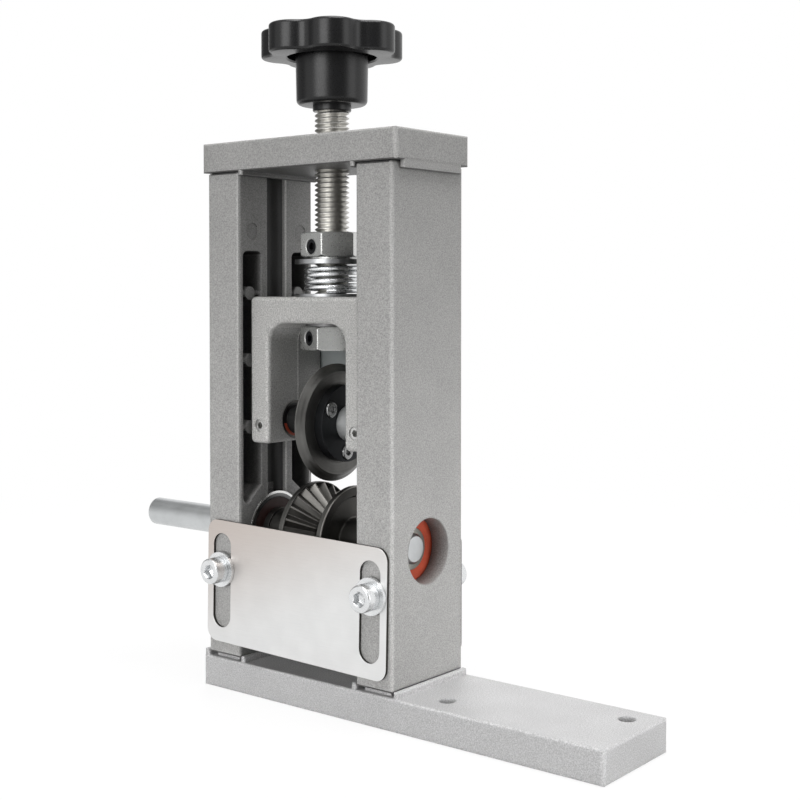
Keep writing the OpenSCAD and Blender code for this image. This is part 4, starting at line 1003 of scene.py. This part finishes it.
cards = {  # grey cards that only show as dark streaks in metal and plastic
    "leftCard": {"place": (-1.09, -0.15, 0.45), "size": (1.3, 1.0), "shade": 0.28},
    "cameraSideCard": {"place": (0.95, -0.55, 0.4), "size": (1.3, 0.9), "shade": 0.30},
    "upperLeftCard": {"place": (-0.9, 0.1, 1.15), "size": (0.9, 1.0), "shade": 0.42},
}


def aimed(thing, place, target):
    thing.location = place
    thing.rotation_euler = (Vector(target) - Vector(place)).to_track_quat("-Z", "Y").to_euler()


def flatPanel(name, wide, high):
    mesh = bmesh.new()
    bmesh.ops.create_grid(mesh, x_segments=1, y_segments=1, size=0.5)
    bmesh.ops.scale(mesh, vec=(wide, high, 1), verts=mesh.verts)
    return meshObject(name, mesh)


def mixedSurface(tree, share, first, second, output):
    mix = tree.nodes.new("ShaderNodeMixShader")
    tree.links.new(share, mix.inputs["Fac"])
    tree.links.new(first, mix.inputs[1])
    tree.links.new(second, mix.inputs[2])
    tree.links.new(mix.outputs["Shader"], tree.nodes[output].inputs["Surface"])


def makeCamera():
    camera = placed("photoCamera", bpy.data.cameras.new("photoCamera"))
    camera.location = studio["cameraPlace"]
    camera.rotation_euler = (math.radians(90 - studio["pitch"]), 0, math.radians(studio["heading"]))
    camera.data.lens = studio["lens"]
    camera.data.sensor_width = studio["sensor"]
    camera.data.shift_y = studio["shiftY"]
    camera.data.clip_start = studio["nearest"]
    bpy.context.scene.camera = camera


def makeLamp(name, place, size, power, target=studio["middle"], spread=180, unseen=False):
    lamp = placed(name, bpy.data.lights.new(name, "AREA"))
    lamp.data.shape = "RECTANGLE"
    lamp.data.size, lamp.data.size_y = size
    lamp.data.energy = power
    lamp.data.spread = math.radians(spread)
    aimed(lamp, place, target)
    if unseen:
        lamp.visible_camera = False
        lamp.visible_glossy = False


def makeFloor():
    s = studio
    floor = flatPanel("studioFloor", s["floorSize"], s["floorSize"])
    floor.location.z = s["floorHeight"]
    material, tree, where = startMaterial("paleFloor", 0.0, s["floorRough"], shine=0.0)
    shader = tree.nodes["Principled BSDF"]
    glow = tree.nodes.new("ShaderNodeEmission")
    path = tree.nodes.new("ShaderNodeLightPath")
    seen = maths(tree, "MAXIMUM", path.outputs["Is Camera Ray"], path.outputs["Is Glossy Ray"])
    shade = blended(tree, seen, (s["floorPlain"],) * 3, (s["floorSeen"],) * 3)
    tree.links.new(shade, shader.inputs["Base Color"])
    # the shadow stays near the object, and the far floor is plain
    near, far = s["glowReach"]
    fade = remapped(tree, vectorMaths(tree, "LENGTH", where), near, far, s["floorGlow"], "SMOOTHSTEP")
    mixedSurface(tree, maths(tree, "MULTIPLY", seen, fade), shader.outputs["BSDF"], glow.outputs["Emission"],
                 "Material Output")
    floor.data.materials.append(material)


def makeWorld():
    world = bpy.data.worlds.new("softStudio")
    bpy.context.scene.world = world
    world.use_nodes = True
    tree = world.node_tree
    ambient = tree.nodes["Background"]
    ambient.inputs["Color"].default_value = (1, 1, 1, 1)
    ambient.inputs["Strength"].default_value = studio["ambient"]
    white = tree.nodes.new("ShaderNodeBackground")
    white.inputs["Color"].default_value = (1, 1, 1, 1)
    path = tree.nodes.new("ShaderNodeLightPath")
    seen = maths(tree, "MAXIMUM", path.outputs["Is Camera Ray"], path.outputs["Is Transmission Ray"])
    seen = maths(tree, "MAXIMUM", seen, path.outputs["Is Glossy Ray"])
    mixedSurface(tree, seen, ambient.outputs["Background"], white.outputs["Background"], "World Output")


def makeCard(name, place, size, shade):
    card = flatPanel(name, *size)
    aimed(card, place, studio["middle"])
    material = bpy.data.materials.new(name)
    material.use_nodes = True
    tree = material.node_tree
    grey = tree.nodes.new("ShaderNodeEmission")  # a plain grey, darker than the white round it, and no lamp
    grey.inputs["Color"].default_value = (shade, shade, shade, 1)
    tree.links.new(grey.outputs["Emission"], tree.nodes["Material Output"].inputs["Surface"])
    material.cycles.emission_sampling = "NONE"
    card.data.materials.append(material)
    card.visible_camera = False
    card.visible_diffuse = False
    card.visible_shadow = False
    card.visible_transmission = False


makeCamera()
makeFloor()
makeWorld()
for name, look in lamps.items():
    makeLamp(name, **look)
for name, look in cards.items():
    makeCard(name, **look)
bpy.context.scene.view_settings.view_transform = "Standard"
print("studio lit")
